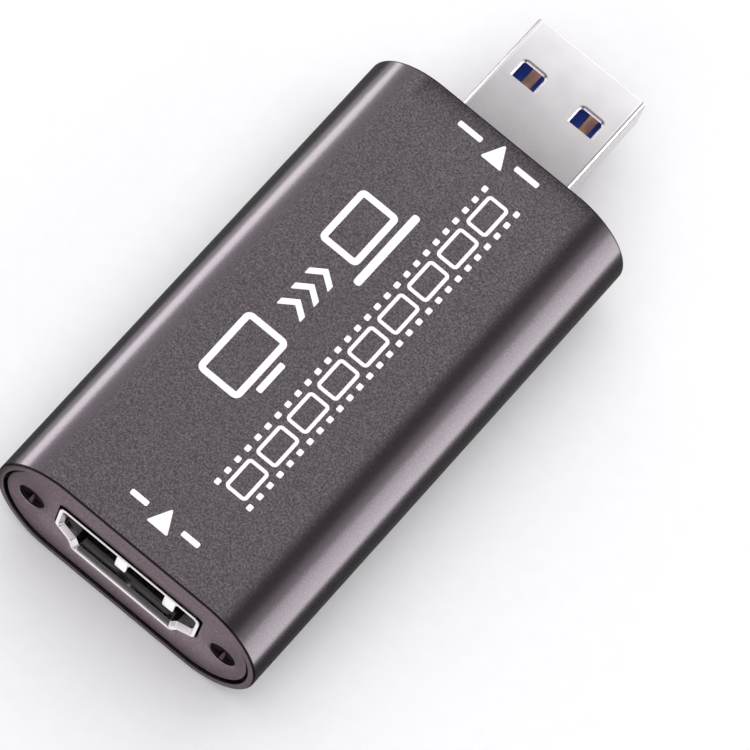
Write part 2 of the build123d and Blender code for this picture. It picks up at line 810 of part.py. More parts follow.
large_cap_places = [on_deck(share) for share in large_cap_place_shares]
with BuildPart() as large_capacitors:
    chip_parts(large_cap_places, large_cap_length, large_cap_width, large_cap_height)
large_capacitors.part.label = "large_capacitors"

resistor_places = [on_deck(share) for share in resistor_place_shares]
resistor_places += [beside_chip(share) for share in resistor_side_shares]
with BuildPart() as chip_resistors:
    chip_parts(resistor_places, chip_cap_length, chip_cap_width, resistor_height)
chip_resistors.part.label = "chip_resistors"

bead_places = [beside_chip(share) for share in bead_side_shares]
with BuildPart() as ferrite_beads:
    chip_parts(bead_places, large_cap_length, large_cap_width, large_cap_height)
ferrite_beads.part.label = "ferrite_beads"

# Write one file for each piece
pieces = (
    sleeve,
    input_end_plate,
    output_end_plate,
    input_end_screws,
    output_end_screws,
    circuit_board,
    input_socket_shell,
    input_socket_moulding,
    input_socket_pegs,
    input_upper_contacts,
    input_lower_contacts,
    output_plug_shell,
    output_plug_moulding,
    output_long_contacts,
    output_short_contacts,
    capture_chip,
    capture_chip_leads,
    memory_chip,
    memory_chip_leads,
    voltage_regulators,
    regulator_leads,
    crystal,
    power_coil,
    surge_guards,
    small_capacitors,
    large_capacitors,
    chip_resistors,
    ferrite_beads,
)
os.makedirs("parts", exist_ok=True)
for piece in pieces:
    export_step(piece.part, f"parts/{piece.part.label}.step")
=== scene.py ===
# Video capture stick: the looks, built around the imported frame.
import json
import logging
import math
from dataclasses import dataclass, field
from enum import Enum
from typing import Iterable, Sequence

import bmesh
import bpy
from mathutils import Matrix, Vector


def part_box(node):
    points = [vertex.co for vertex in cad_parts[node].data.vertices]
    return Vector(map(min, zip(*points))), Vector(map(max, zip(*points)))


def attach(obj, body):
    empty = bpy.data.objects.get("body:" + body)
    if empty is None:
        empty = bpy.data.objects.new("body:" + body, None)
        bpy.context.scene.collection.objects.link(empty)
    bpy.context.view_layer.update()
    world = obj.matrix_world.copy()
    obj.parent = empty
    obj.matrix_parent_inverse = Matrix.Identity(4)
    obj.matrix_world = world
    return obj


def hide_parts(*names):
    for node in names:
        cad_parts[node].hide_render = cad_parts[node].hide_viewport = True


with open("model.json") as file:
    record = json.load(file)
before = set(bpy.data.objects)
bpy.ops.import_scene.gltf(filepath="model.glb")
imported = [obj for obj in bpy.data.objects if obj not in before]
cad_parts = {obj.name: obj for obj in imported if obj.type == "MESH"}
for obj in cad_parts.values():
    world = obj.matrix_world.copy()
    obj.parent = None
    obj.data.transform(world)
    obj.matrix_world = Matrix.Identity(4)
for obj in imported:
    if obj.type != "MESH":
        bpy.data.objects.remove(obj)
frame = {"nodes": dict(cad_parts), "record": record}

LOG = logging.getLogger("capture_stick")
MM = 0.001
BODY = "root"
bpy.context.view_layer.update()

Pair = tuple[float, float]
Triple = tuple[float, float, float]
Colour = tuple[float, float, float, float]
Points = list[Vector]
Ring = list[bmesh.types.BMVert]
Tree = bpy.types.NodeTree
Socket = bpy.types.NodeSocket

# Rounded corners of the tabs that stand in the board
LEG_CORNER = 0.3
LEG_STEPS = 4


class End(Enum):
    """An end of the stick, with the direction along the length that points out of it."""

    INPUT = -1
    OUTPUT = 1

    @property
    def word(self) -> str:
        """The end's name, as the CAD nodes carry it."""
        return self.name.lower()


def node_box(node: str) -> tuple[Vector, Vector]:
    """Return a CAD node's lowest and highest corner in millimetres."""
    low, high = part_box(node)
    return low / MM, high / MM


def linear(colour: str) -> Colour:
    """Turn an sRGB hex colour with a leading hash into linear red, green, blue and an alpha of one."""
    parts = [int(colour[place:place + 2], 16) / 255 for place in (1, 3, 5)]
    return (*[c / 12.92 if c <= 0.04045 else ((c + 0.055) / 1.055) ** 2.4 for c in parts], 1.0)


def shade_of(colour: str, share: float) -> Colour:
    """Return a hex colour made lighter or darker by a share of itself, in linear values."""
    *parts, alpha = linear(colour)
    return (*[min(1.0, part * share) for part in parts], alpha)


def grey(level: float) -> Colour:
    """Return a grey of this linear level."""
    return (level, level, level, 1.0)


def add_node(tree: Tree, kind: str, inputs: dict | None = None,
             **settings: object) -> bpy.types.Node:
    """Add a node with its settings and links.

    Args:
        tree: Node tree that the node goes into.
        kind: Blender's name of the node type.
        inputs: Value or linked output for each input, by name or number.
        **settings: Properties of the node; stops sets the stops of a colour ramp.

    Returns:
        The new node.
    """
    node = tree.nodes.new(kind)
    stops = settings.pop("stops", None)
    for name, value in settings.items():
        setattr(node, name, value)
    if stops:
        ramp = node.color_ramp
        while len(ramp.elements) < len(stops):
            ramp.elements.new(1.0)
        for element, (place, colour) in zip(ramp.elements, stops):
            element.position = place
            element.color = colour
    for key, value in (inputs or {}).items():
        if isinstance(value, Socket):
            tree.links.new(value, node.inputs[key])
        else:
            node.inputs[key].default_value = value
    return node


def circle(radius: float, steps: int) -> Points:
    """Return a circle's points as (x, z), anticlockwise from the right."""
    turns = [math.tau * number / steps for number in range(steps)]
    return [Vector((radius * math.cos(turn), radius * math.sin(turn))) for turn in turns]


def stadium(half_width: float, half_height: float, steps: int) -> Points:
    """Return a flat-sided outline with half-circle ends.

    Args:
        half_width: Half of the whole width.
        half_height: Half of the height, which is also the ends' radius.
        steps: Number of steps in each half circle.

    Returns:
        The points as (x, z), anticlockwise from the lower right.
    """
    straight = half_width - half_height
    points = []
    for side in (1, -1):
        for number in range(steps + 1):
            turn = math.pi * (number / steps - 0.5)
            across = straight + half_height * math.cos(turn)
            points.append(Vector((side * across, side * half_height * math.sin(turn))))
    return points


def corner_arc(before: Vector, here: Vector, after: Vector, radius: float, steps: int) -> Points:
    """Return the arc that rounds the corner between two straight lines.

    Args:
        before: A point on the line that arrives.
        here: The sharp corner.
        after: A point on the line that leaves.
        radius: Radius of the arc.
        steps: Number of steps in the arc.

    Returns:
        The points of the arc, in order.
    """
    back, ahead = (before - here).normalized(), (after - here).normalized()
    half = back.angle(ahead) / 2
    centre = here + (back + ahead).normalized() * radius / math.sin(half)
    reach = radius / math.tan(half)
    first, last = here + back * reach - centre, here + ahead * reach - centre
    begin = math.atan2(first.y, first.x)
    sweep = (math.atan2(last.y, last.x) - begin + math.pi) % math.tau - math.pi
    turns = [begin + sweep * step / steps for step in range(steps + 1)]
    return [centre + Vector((math.cos(turn), math.sin(turn))) * radius for turn in turns]


def rounded(corners: Sequence[Sequence[float]], radius: float | Sequence[float], steps: int) -> Points:
    """Return a closed outline with its corners rounded.

    Args:
        corners: The sharp corners, in order.
        radius: Radius of every arc, or one for each corner.
        steps: Number of steps in each arc.

    Returns:
        The points of the rounded outline.
    """
    places = [Vector(corner) for corner in corners]
    radii = radius if isinstance(radius, Sequence) else [radius] * len(places)
    points = []
    for before, here, after, size in zip(places[-1:] + places, places, places[1:] + places[:1], radii):
        points += corner_arc(before, here, after, size, steps)
    return points


def box_corners(width: float, height: float) -> list[Pair]:
    """Return the four corners of a rectangle about the origin."""
    x, z = width / 2, height / 2
    return [(x, -z), (x, z), (-x, z), (-x, -z)]


def quarter(steps: int) -> list[Pair]:
    """Return one minus sine and one minus cosine over a quarter turn, for rounding an edge."""
    turns = [math.pi / 2 * number / steps for number in range(steps + 1)]
    return [(1 - math.sin(turn), 1 - math.cos(turn)) for turn in turns]


def moved(points: Points, centre: Sequence[float]) -> Points:
    """Return an outline moved to a centre."""
    return [point + Vector(centre) for point in points]


class Solid:
    """A closed mesh under construction, in millimetres, with the stick's length along Y."""

    def __init__(self) -> None:
        """Start with an empty mesh."""
        self.mesh = bmesh.new()

    def points(self, places: Iterable[Sequence[float]]) -> Ring:
        """Add a ring of vertices at places in space."""
        return [self.mesh.verts.new(place) for place in places]

    def ring(self, outline: Iterable[Vector], y: float, centre: Pair = (0.0, 0.0)) -> Ring:
        """Place an (x, z) outline square to the length, its middle at a centre."""
        return self.points((p.x + centre[0], y, p.y + centre[1]) for p in outline)

    def bridge(self, rings: Sequence[Ring], closed: bool = False) -> None:
        """Join rings of equal length with quads.

        Args:
            rings: The rings, in order.
            closed: Whether the last ring also joins the first.
        """
        pairs = list(zip(rings, rings[1:]))
        if closed:
            pairs.append((rings[-1], rings[0]))
        for first, second in pairs:
            for here in range(len(first)):
                there = (here + 1) % len(first)
                self.mesh.faces.new((first[here], first[there], second[there], second[here])).smooth = True

    def cap(self, ring: Ring) -> None:
        """Close a ring with one flat face."""
        self.mesh.faces.new(ring).smooth = False

    def bar(self, rings: Sequence[Ring]) -> None:
        """Join rings of equal length and close both ends.

        Args:
            rings: The rings, in order.
        """
        self.bridge(rings)
        self.cap(rings[0])
        self.cap(rings[-1])

    def fill(self, *loops: Ring) -> None:
        """Fill the flat area between an outer loop and the loops of its holes.

        Args:
            *loops: The outer loop and then the holes.
        """
        edges = []
        for loop in loops:
            for here, there in zip(loop, loop[1:] + loop[:1]):
                edges.append(self.mesh.edges.get((here, there)) or self.mesh.edges.new((here, there)))
        made = bmesh.ops.triangle_fill(self.mesh, use_beauty=True, use_dissolve=False, edges=edges)["geom"]
        for face in (item for item in made if isinstance(item, bmesh.types.BMFace)):
            face.smooth = False

    def leg(self, faces: Pair, y: float, heights: Pair, width: float) -> None:
        """Add a board leg as a flat tab with rounded corners.

        Args:
            faces: Places of its inner and outer face across the stick.
            y: Place of its middle along the length.
            heights: Heights of its foot and its top.
            width: Its width along the length.
        """
        low, top = heights
        outline = rounded(box_corners(width, top - low), LEG_CORNER, LEG_STEPS)
        self.bar([self.points((x, y + p.x, (top + low) / 2 + p.y) for p in outline) for x in faces])

    def to_object(self, name: str) -> bpy.types.Object:
        """Make a scene object of the mesh as it is, still in millimetres.

        Args:
            name: Name of the object.

        Returns:
            The object.
        """
        bmesh.ops.recalc_face_normals(self.mesh, faces=self.mesh.faces)
        data = bpy.data.meshes.new(name)
        self.mesh.to_mesh(data)
        made = bpy.data.objects.new(name, data)
        bpy.context.scene.collection.objects.link(made)
        return made

    def finished(self, name: str, material: bpy.types.Material) -> bpy.types.Object:
        """Make the scene object for good, in metres and with its material.

        Args:
            name: Name of the object.
            material: Its material.

        Returns:
            The object. The solid is used up.
        """
        made = self.to_object(name)
        self.mesh.free()
        made.data.transform(Matrix.Scale(MM, 4))
        made.data.materials.append(material)
        return made

    def cut(self, tool: "Solid") -> None:
        """Cut another solid out of this one.

        Args:
            tool: The other solid, which is used up.
        """
        target, other = self.to_object("cut_target"), tool.to_object("cut_tool")
        modifier = target.modifiers.new("cut", "BOOLEAN")
        modifier.operation, modifier.solver, modifier.object = "DIFFERENCE", "EXACT", other
        result = bpy.data.meshes.new_from_object(target.evaluated_get(bpy.context.evaluated_depsgraph_get()))
        self.mesh.clear()
        self.mesh.from_mesh(result)
        for temporary in (target, other):
            data = temporary.data
            bpy.data.objects.remove(temporary)
            bpy.data.meshes.remove(data)
        bpy.data.meshes.remove(result)

    def piece(self, name: str, finish: "Finish", slot: str, nodes: Sequence[str] = (),
              sharp: float = 35) -> bpy.types.Object:
        """Turn the solid into a finished piece of the stick.

        Args:
            name: Name of the piece.
            finish: Its finish.
            slot: The record's material slot that it follows; not used.
            nodes: CAD nodes that it stands for.
            sharp: Angle in degrees above which an edge stays sharp.

        Returns:
            The piece, in metres and riding on the body.
        """
        made = self.finished(name, finish.material())
        made.data.set_sharp_from_angle(angle=math.radians(sharp))
        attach(made, BODY)
        if nodes:
            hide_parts(*nodes)
        return made


@dataclass(frozen=True)
class Finish:
    """A real material and how its surface was made.

    Its coat is a clear layer, glossier than what is under it, and grazing says how much of the light that
    comes in at a low angle a dull oxide throws back.
    """

    name: str
    colour: str
    roughness: float
    metallic: float = 0.0
    ior: float = 1.5
    coat: float = 0.0
    coat_gloss: float = 0.6
    grazing: float = 1.0

    def material(self) -> bpy.types.Material:
        """Make the finish's material on first use.

        Returns:
            The material.
        """
        found = bpy.data.materials.get(self.name)
        if found:
            return found
        made = bpy.data.materials.new(self.name)
        made.use_nodes = True
        tree = made.node_tree
        shader = next(node for node in tree.nodes if node.type == "BSDF_PRINCIPLED")
        shader.inputs["Base Color"].default_value = linear(self.colour)
        shader.inputs["Roughness"].default_value = self.roughness
        shader.inputs["Metallic"].default_value = self.metallic
        if not self.metallic:
            shader.inputs["IOR"].default_value = self.ior
        shader.inputs["Specular Tint"].default_value = grey(self.grazing)
        shader.inputs["Coat Weight"].default_value = self.coat
        shader.inputs["Coat Roughness"].default_value = self.roughness * self.coat_gloss
        place = add_node(tree, "ShaderNodeTexCoord").outputs["Object"]
        in_mm = add_node(tree, "ShaderNodeVectorMath", {0: place, 1: (1 / MM,) * 3}, operation="MULTIPLY")
        for name, pattern in self.surface(tree, in_mm.outputs[0]).items():
            tree.links.new(pattern, shader.inputs[name])
        return made

    def surface(self, tree: Tree, place: Socket) -> dict[str, Socket]:
        """Make the surface's own patterns; a plain finish has none.

        Args:
            tree: The material's node tree.
            place: Place on the object in millimetres.

        Returns:
            The pattern for each input of the shader that has one.
        """
        return {}

    def skin(self, tree: Tree, pattern: Socket, gloss: Pair, strength: float | Socket,
             depth_mm: float) -> dict[str, Socket]:
        """Let uneven gloss and relief follow one pattern.

        Args:
            tree: The material's node tree.
            pattern: The pattern.
            gloss: How far the roughness goes down and up with it.
            strength: Share of the relief that shows.
            depth_mm: Height of the relief.

        Returns:
            The patterns for the shader's roughness and normal.
        """
        uneven = add_node(tree, "ShaderNodeMapRange", {
            "Value": pattern, 3: self.roughness - gloss[0], 4: self.roughness + gloss[1]})
        relief = add_node(tree, "ShaderNodeBump", {
            "Height": pattern, "Strength": strength, "Distance": depth_mm * MM})
        return {"Roughness": uneven.outputs[0], "Normal": relief.outputs[0]}


@dataclass(frozen=True)
class BlastedAnodised(Finish):
    """Aluminium, blasted with fine glass beads and then anodised and dyed.

    The blasting gives an even sparkle of tiny dents, and the dye a flat, slightly warm grey.
    """

    # Real dents are under 0.1 mm across. They are drawn larger, because the picture has 12 pixels to 1 mm.
    grain_mm: float = 0.16
    dent_mm: float = 0.012
    dye_mm: float = 9.0
    dye_drift: float = 0.05
    contrast: float = 0.3
    # A bright dent stands out more than a dark one
    glint: float = 1.6
    glint_stops: Triple = (0.3, 0.5, 0.7)
    gloss: Pair = (0.05, 0.05)
    # How far the sparkle shows, by how the surface leans to a side: full on the level part, and faint
    # where the bright bands along the flanks begin
    lean_stops: tuple[Pair, ...] = ((0.24, 0.2), (0.33, 1.0), (0.60, 1.0), (0.70, 0.2))
    relief: float = 0.25

    def surface(self, tree: Tree, place: Socket) -> dict[str, Socket]:
        """Make grain, slow changes of the dye and dents.

        Args:
            tree: The material's node tree.
            place: Place on the object in millimetres.

        Returns:
            The patterns for the shader's base colour, roughness and normal.
        """
        grain = add_node(tree, "ShaderNodeTexNoise", {
            "Vector": place, "Scale": 1 / self.grain_mm, "Detail": 4.0, "Roughness": 0.75}).outputs["Fac"]
        dye = add_node(tree, "ShaderNodeTexNoise", {"Vector": place, "Scale": 1 / self.dye_mm, "Detail": 2.0})
        geometry = add_node(tree, "ShaderNodeNewGeometry")
        normal = add_node(tree, "ShaderNodeSeparateXYZ", {0: geometry.outputs["Normal"]})
        lean = add_node(tree, "ShaderNodeMapRange", {"Value": normal.outputs["X"], 1: -1.0, 2: 1.0})
        level = add_node(tree, "ShaderNodeValToRGB", {"Fac": lean.outputs[0]},
                         stops=[(stop, grey(share)) for stop, share in self.lean_stops])
        spread = add_node(tree, "ShaderNodeMapRange", {"Value": grain, 3: -0.5, 4: 0.5})
        faded = add_node(tree, "ShaderNodeMath", {0: spread.outputs[0], 1: level.outputs["Color"], 2: 0.5},
                         operation="MULTIPLY_ADD")
        tones = (shade_of(self.colour, 1 - self.contrast), linear(self.colour),
                 shade_of(self.colour, 1 + self.contrast * self.glint))
        sparkle = add_node(tree, "ShaderNodeValToRGB", {"Fac": faded.outputs[0]},
                           stops=list(zip(self.glint_stops, tones)))
        drift = add_node(tree, "ShaderNodeMapRange", {
            "Value": dye.outputs["Fac"], 3: 1 - self.dye_drift, 4: 1 + self.dye_drift})
        mixed = add_node(tree, "ShaderNodeVectorMath", {0: sparkle.outputs["Color"], 1: drift.outputs[0]},
                         operation="MULTIPLY")
        depth = add_node(tree, "ShaderNodeMath", {0: level.outputs["Color"], 1: self.relief},
                         operation="MULTIPLY")
        return {"Base Color": mixed.outputs[0],
                **self.skin(tree, grain, self.gloss, depth.outputs[0], self.dent_mm)}


@dataclass(frozen=True)
class RolledMetal(Finish):
    """Rolled metal, bare or under a plated or grown layer, which keeps the fine lines of rolling.

    The lines stretch the reflections a little across the sheet, and a bright plate keeps them clear.
    """

    # Real rolling lines are about 0.01 mm apart. They are drawn as coarse as the picture can show.
    line_mm: float = 0.08
    depth_mm: float = 0.002
    # How much of the lines' pattern shows along each axis: they run along the length
    along: Triple = (1.0, 0.04, 1.0)
    cloud_mm: float = 3.0
    cloud_stops: tuple[Pair, Pair] = ((0.35, 0.96), (0.65, 1.03))
    gloss: Pair = (0.03, 0.05)
    relief: float = 0.2

    def surface(self, tree: Tree, place: Socket) -> dict[str, Socket]:
        """Make rolling lines, a little uneven gloss and faint clouding.

        Args:
            tree: The material's node tree.
            place: Place on the object in millimetres.

        Returns:
            The patterns for the shader's base colour, roughness and normal.
        """
        stretched = add_node(tree, "ShaderNodeVectorMath", {0: place, 1: self.along}, operation="MULTIPLY")
        lines = add_node(tree, "ShaderNodeTexNoise", {
            "Vector": stretched.outputs[0], "Scale": 1 / self.line_mm, "Detail": 3.0}).outputs["Fac"]
        cloud = add_node(tree, "ShaderNodeTexNoise", {
            "Vector": place, "Scale": 1 / self.cloud_mm, "Detail": 3.0})
        tint = add_node(tree, "ShaderNodeValToRGB", {"Fac": cloud.outputs["Fac"]},
                        stops=[(stop, shade_of(self.colour, share)) for stop, share in self.cloud_stops])
        return {"Base Color": tint.outputs["Color"],
                **self.skin(tree, lines, self.gloss, self.relief, self.depth_mm)}


@dataclass(frozen=True)
class Moulded(Finish):
    """Moulded polymer or ceramic, with the fine texture of its mould and a faint flow mottle."""

    # The real texture is about 0.02 mm, and it is drawn coarser for the same reason as rolling lines.
    texture_mm: float = 0.06
    depth_mm: float = 0.003
    flow_mm: float = 1.5
    flow_stops: Pair = (0.3, 0.7)
    mottle: float = 0.12
    gloss: Pair = (0.06, 0.08)
    relief: float = 0.2

    def surface(self, tree: Tree, place: Socket) -> dict[str, Socket]:
        """Make mottle and mould texture.

        Args:
            tree: The material's node tree.
            place: Place on the object in millimetres.

        Returns:
            The patterns for the shader's base colour, roughness and normal.
        """
        flow = add_node(tree, "ShaderNodeTexNoise", {
            "Vector": place, "Scale": 1 / self.flow_mm, "Detail": 4.0})
        fine = add_node(tree, "ShaderNodeTexNoise", {
            "Vector": place, "Scale": 1 / self.texture_mm, "Detail": 2.0}).outputs["Fac"]
        tones = (shade_of(self.colour, 1 - self.mottle), shade_of(self.colour, 1 + self.mottle))
        tint = add_node(tree, "ShaderNodeValToRGB", {"Fac": flow.outputs["Fac"]},
                        stops=list(zip(self.flow_stops, tones)))
        return {"Base Color": tint.outputs["Color"],
                **self.skin(tree, fine, self.gloss, self.relief, self.depth_mm)}


@dataclass(frozen=True)
class SolderMask(Finish):
    """Glass laminate under a glossy green mask, with the copper traces raised under it."""

    trace_mm: float = 0.5
    # A cell of the pattern is this many traces wide, and seven traces run round its edge
    cell_traces: float = 6.0
    traces_round: float = 7.0
    edge_stops: Pair = (0.45, 0.55)
    over_copper: float = 1.9
    copper_mm: float = 0.035
    relief: float = 0.5

    def surface(self, tree: Tree, place: Socket) -> dict[str, Socket]:
        """Make traces that stand up under the mask.

        Args:
            tree: The material's node tree.
            place: Place on the object in millimetres.

        Returns:
            The patterns for the shader's base colour and normal.
        """
        cells = add_node(tree, "ShaderNodeTexVoronoi", {
            "Vector": place, "Scale": 1 / (self.cell_traces * self.trace_mm)},
            distance="MANHATTAN", feature="F2")
        edges = add_node(tree, "ShaderNodeMath", {0: cells.outputs["Distance"], 1: self.traces_round},
                         operation="MULTIPLY")
        waves = add_node(tree, "ShaderNodeMath", {0: edges.outputs[0]}, operation="FRACT")
        tones = (linear(self.colour), shade_of(self.colour, self.over_copper))
        trace = add_node(tree, "ShaderNodeValToRGB", {"Fac": waves.outputs[0]},
                         stops=list(zip(self.edge_stops, tones))).outputs["Color"]
        raised = add_node(tree, "ShaderNodeBump", {
            "Height": trace, "Strength": self.relief, "Distance": self.copper_mm * MM})
        return {"Base Color": trace, "Normal": raised.outputs[0]}


@dataclass(frozen=True)
class PadInk(Finish):
    """Ink, pad-printed in one coat, slightly uneven where it lies on the blasted grain."""

    # The grain under the coat, drawn as coarse as on the sleeve
    grain_mm: float = 0.16
    coat_stops: tuple[Pair, Pair] = ((0.25, 0.9), (0.45, 1.0))
    coat_mm: float = 0.008
    relief: float = 0.15

    def surface(self, tree: Tree, place: Socket) -> dict[str, Socket]:
        """Make the grain that shows through the coat.

        Args:
            tree: The material's node tree.
            place: Place on the object in millimetres.

        Returns:
            The patterns for the shader's base colour and normal.
        """
        grain = add_node(tree, "ShaderNodeTexNoise", {
            "Vector": place, "Scale": 1 / self.grain_mm, "Detail": 3.0}).outputs["Fac"]
        coat = add_node(tree, "ShaderNodeValToRGB", {"Fac": grain},
                        stops=[(stop, shade_of(self.colour, share)) for stop, share in self.coat_stops])
        relief = add_node(tree, "ShaderNodeBump", {
            "Height": grain, "Strength": self.relief, "Distance": self.coat_mm * MM})
        return {"Base Color": coat.outputs["Color"], "Normal": relief.outputs[0]}


# Anodised aluminium, blasted: a dull warm grey that sparkles, with a clear gleam from the sealed oxide.
SLEEVE_FINISH = BlastedAnodised("anodised_aluminium_blasted", "#534c52", 0.25, metallic=1.0, coat=0.4,
                                grain_mm=0.18, contrast=0.78)
# The plates are blasted with a finer bead, so they look smoother and a little browner.
PLATE_FINISH = BlastedAnodised("anodised_aluminium_fine_blasted", "#7e7177", 0.4, metallic=1.0,
                               grazing=0.5, grain_mm=0.13, contrast=0.5, dent_mm=0.006)
# Painted shade: the sleeve's rounded end edges are given a dark colour, so a dark line runs round the plate.
EDGE_PAINTED_SHADE_FINISH = BlastedAnodised("anodised_aluminium_painted_shade_edge", "#2b2629", 0.3, metallic=1.0, contrast=0.1)
# Black oxide on turned steel: almost black, with a soft gleam on its edges and no rolling lines.
SCREW_FINISH = RolledMetal("steel_black_oxide", "#363134", 0.3, metallic=1.0, grazing=0.35,
                           along=(1.0, 1.0, 1.0))
# Bright nickel plate on drawn steel: a clear, slightly warm mirror.
SOCKET_FINISH = RolledMetal("steel_bright_nickel", "#d6d0d4", 0.11, metallic=1.0, depth_mm=0.0005)
# Satin nickel plate: the same metal, rolled duller, so that the folded shell shows soft bands.
PLUG_FINISH = RolledMetal("steel_satin_nickel", "#d2ced1", 0.24, metallic=1.0)
# The springs are bronze under the same nickel; their colour is painted lighter than the shell's, a painted
# highlight for the bright reflections on their fronts.
SPRING_PAINTED_HIGHLIGHT_FINISH = RolledMetal("bronze_nickel_painted_highlight", "#f1eff0", 0.3, metallic=1.0)
# Glass-filled liquid crystal polymer, moulded: a deep black with a dull sheen.
BLACK_POLYMER = Moulded("liquid_crystal_polymer_black_moulded", "#17171a", 0.42, ior=1.6)
# Polyamide, moulded in a strong blue, with a soft gloss from the polished mould.
BLUE_POLYMER = Moulded("polyamide_blue_moulded", "#1d3c9c", 0.34, ior=1.53)
# A flash of gold over nickel on bronze: warm yellow and bright.
GOLD_FINISH = RolledMetal("bronze_gold_flashed", "#d9b264", 0.2, metallic=1.0)
# Bare copper alloy, rolled: pinkish brown, with a broad, soft gleam.
COPPER_FINISH = RolledMetal("copper_alloy_bare_rolled", "#f6c6ac", 0.42, metallic=1.0, depth_mm=0.0007)
# Epoxy, moulded round the chips: matt charcoal.
EPOXY = Moulded("epoxy_black_moulded", "#1d1d20", 0.5, ior=1.55)
# Matt tin on copper leads: a soft, even light grey.
TIN_FINISH = RolledMetal("copper_matt_tinned", "#c4c4c8", 0.38, metallic=1.0)
# Fired ceramic: dull tan.
CERAMIC = Moulded("ceramic_capacitor_fired", "#b08c62", 0.45, ior=1.6)
# Pressed iron powder: a rough, speckled dark grey.
FERRITE = Moulded("iron_powder_pressed", "#4a4a4d", 0.6, ior=1.6, mottle=0.3)
# Glazed ceramic: near black, with a wet-looking gloss.
GLAZE = Moulded("ceramic_resistor_glazed", "#26262a", 0.25, ior=1.55)
# Nickel plate on a stamped iron alloy lid: a warm, half-bright silver.
LID_FINISH = RolledMetal("iron_nickel_cobalt_lid_plated", "#c8c2b6", 0.28, metallic=1.0)
# Glass laminate under solder mask: glossy dark green, lighter over the copper.
BOARD_FINISH = SolderMask("glass_laminate_solder_masked", "#0e4a2c", 0.3, ior=1.55)
# White ink, pad-printed: flat and dense, a little thin over the grain.
INK = PadInk("ink_white_pad_printed", "#f4eef3", 0.5)
# Uncoated white paper. Its faint gloss is left out, so that no card shows in it.
FLOOR_FINISH = Moulded("floor_white_paper", "#f3f2f4", 0.9, ior=1.0, texture_mm=0.4, depth_mm=0.002,
                       mottle=0.01)

# Finish of each slot's CAD nodes
SLOT_FINISHES = {
    "anodised_sleeve": SLEEVE_FINISH,
    "anodised_plate": PLATE_FINISH,
    "black_screw": SCREW_FINISH,
    "board_laminate": BOARD_FINISH,
    "nickel_shell": SOCKET_FINISH,
    "black_moulding": BLACK_POLYMER,
    "gold_contact": GOLD_FINISH,
    "plug_shell": PLUG_FINISH,
    "blue_moulding": BLUE_POLYMER,
    "copper_contact": COPPER_FINISH,
    "chip_moulding": EPOXY,
    "tinned_lead": TIN_FINISH,
    "crystal_can": LID_FINISH,
    "coil_block": FERRITE,
    "capacitor_block": CERAMIC,
    "resistor_block": GLAZE,
}


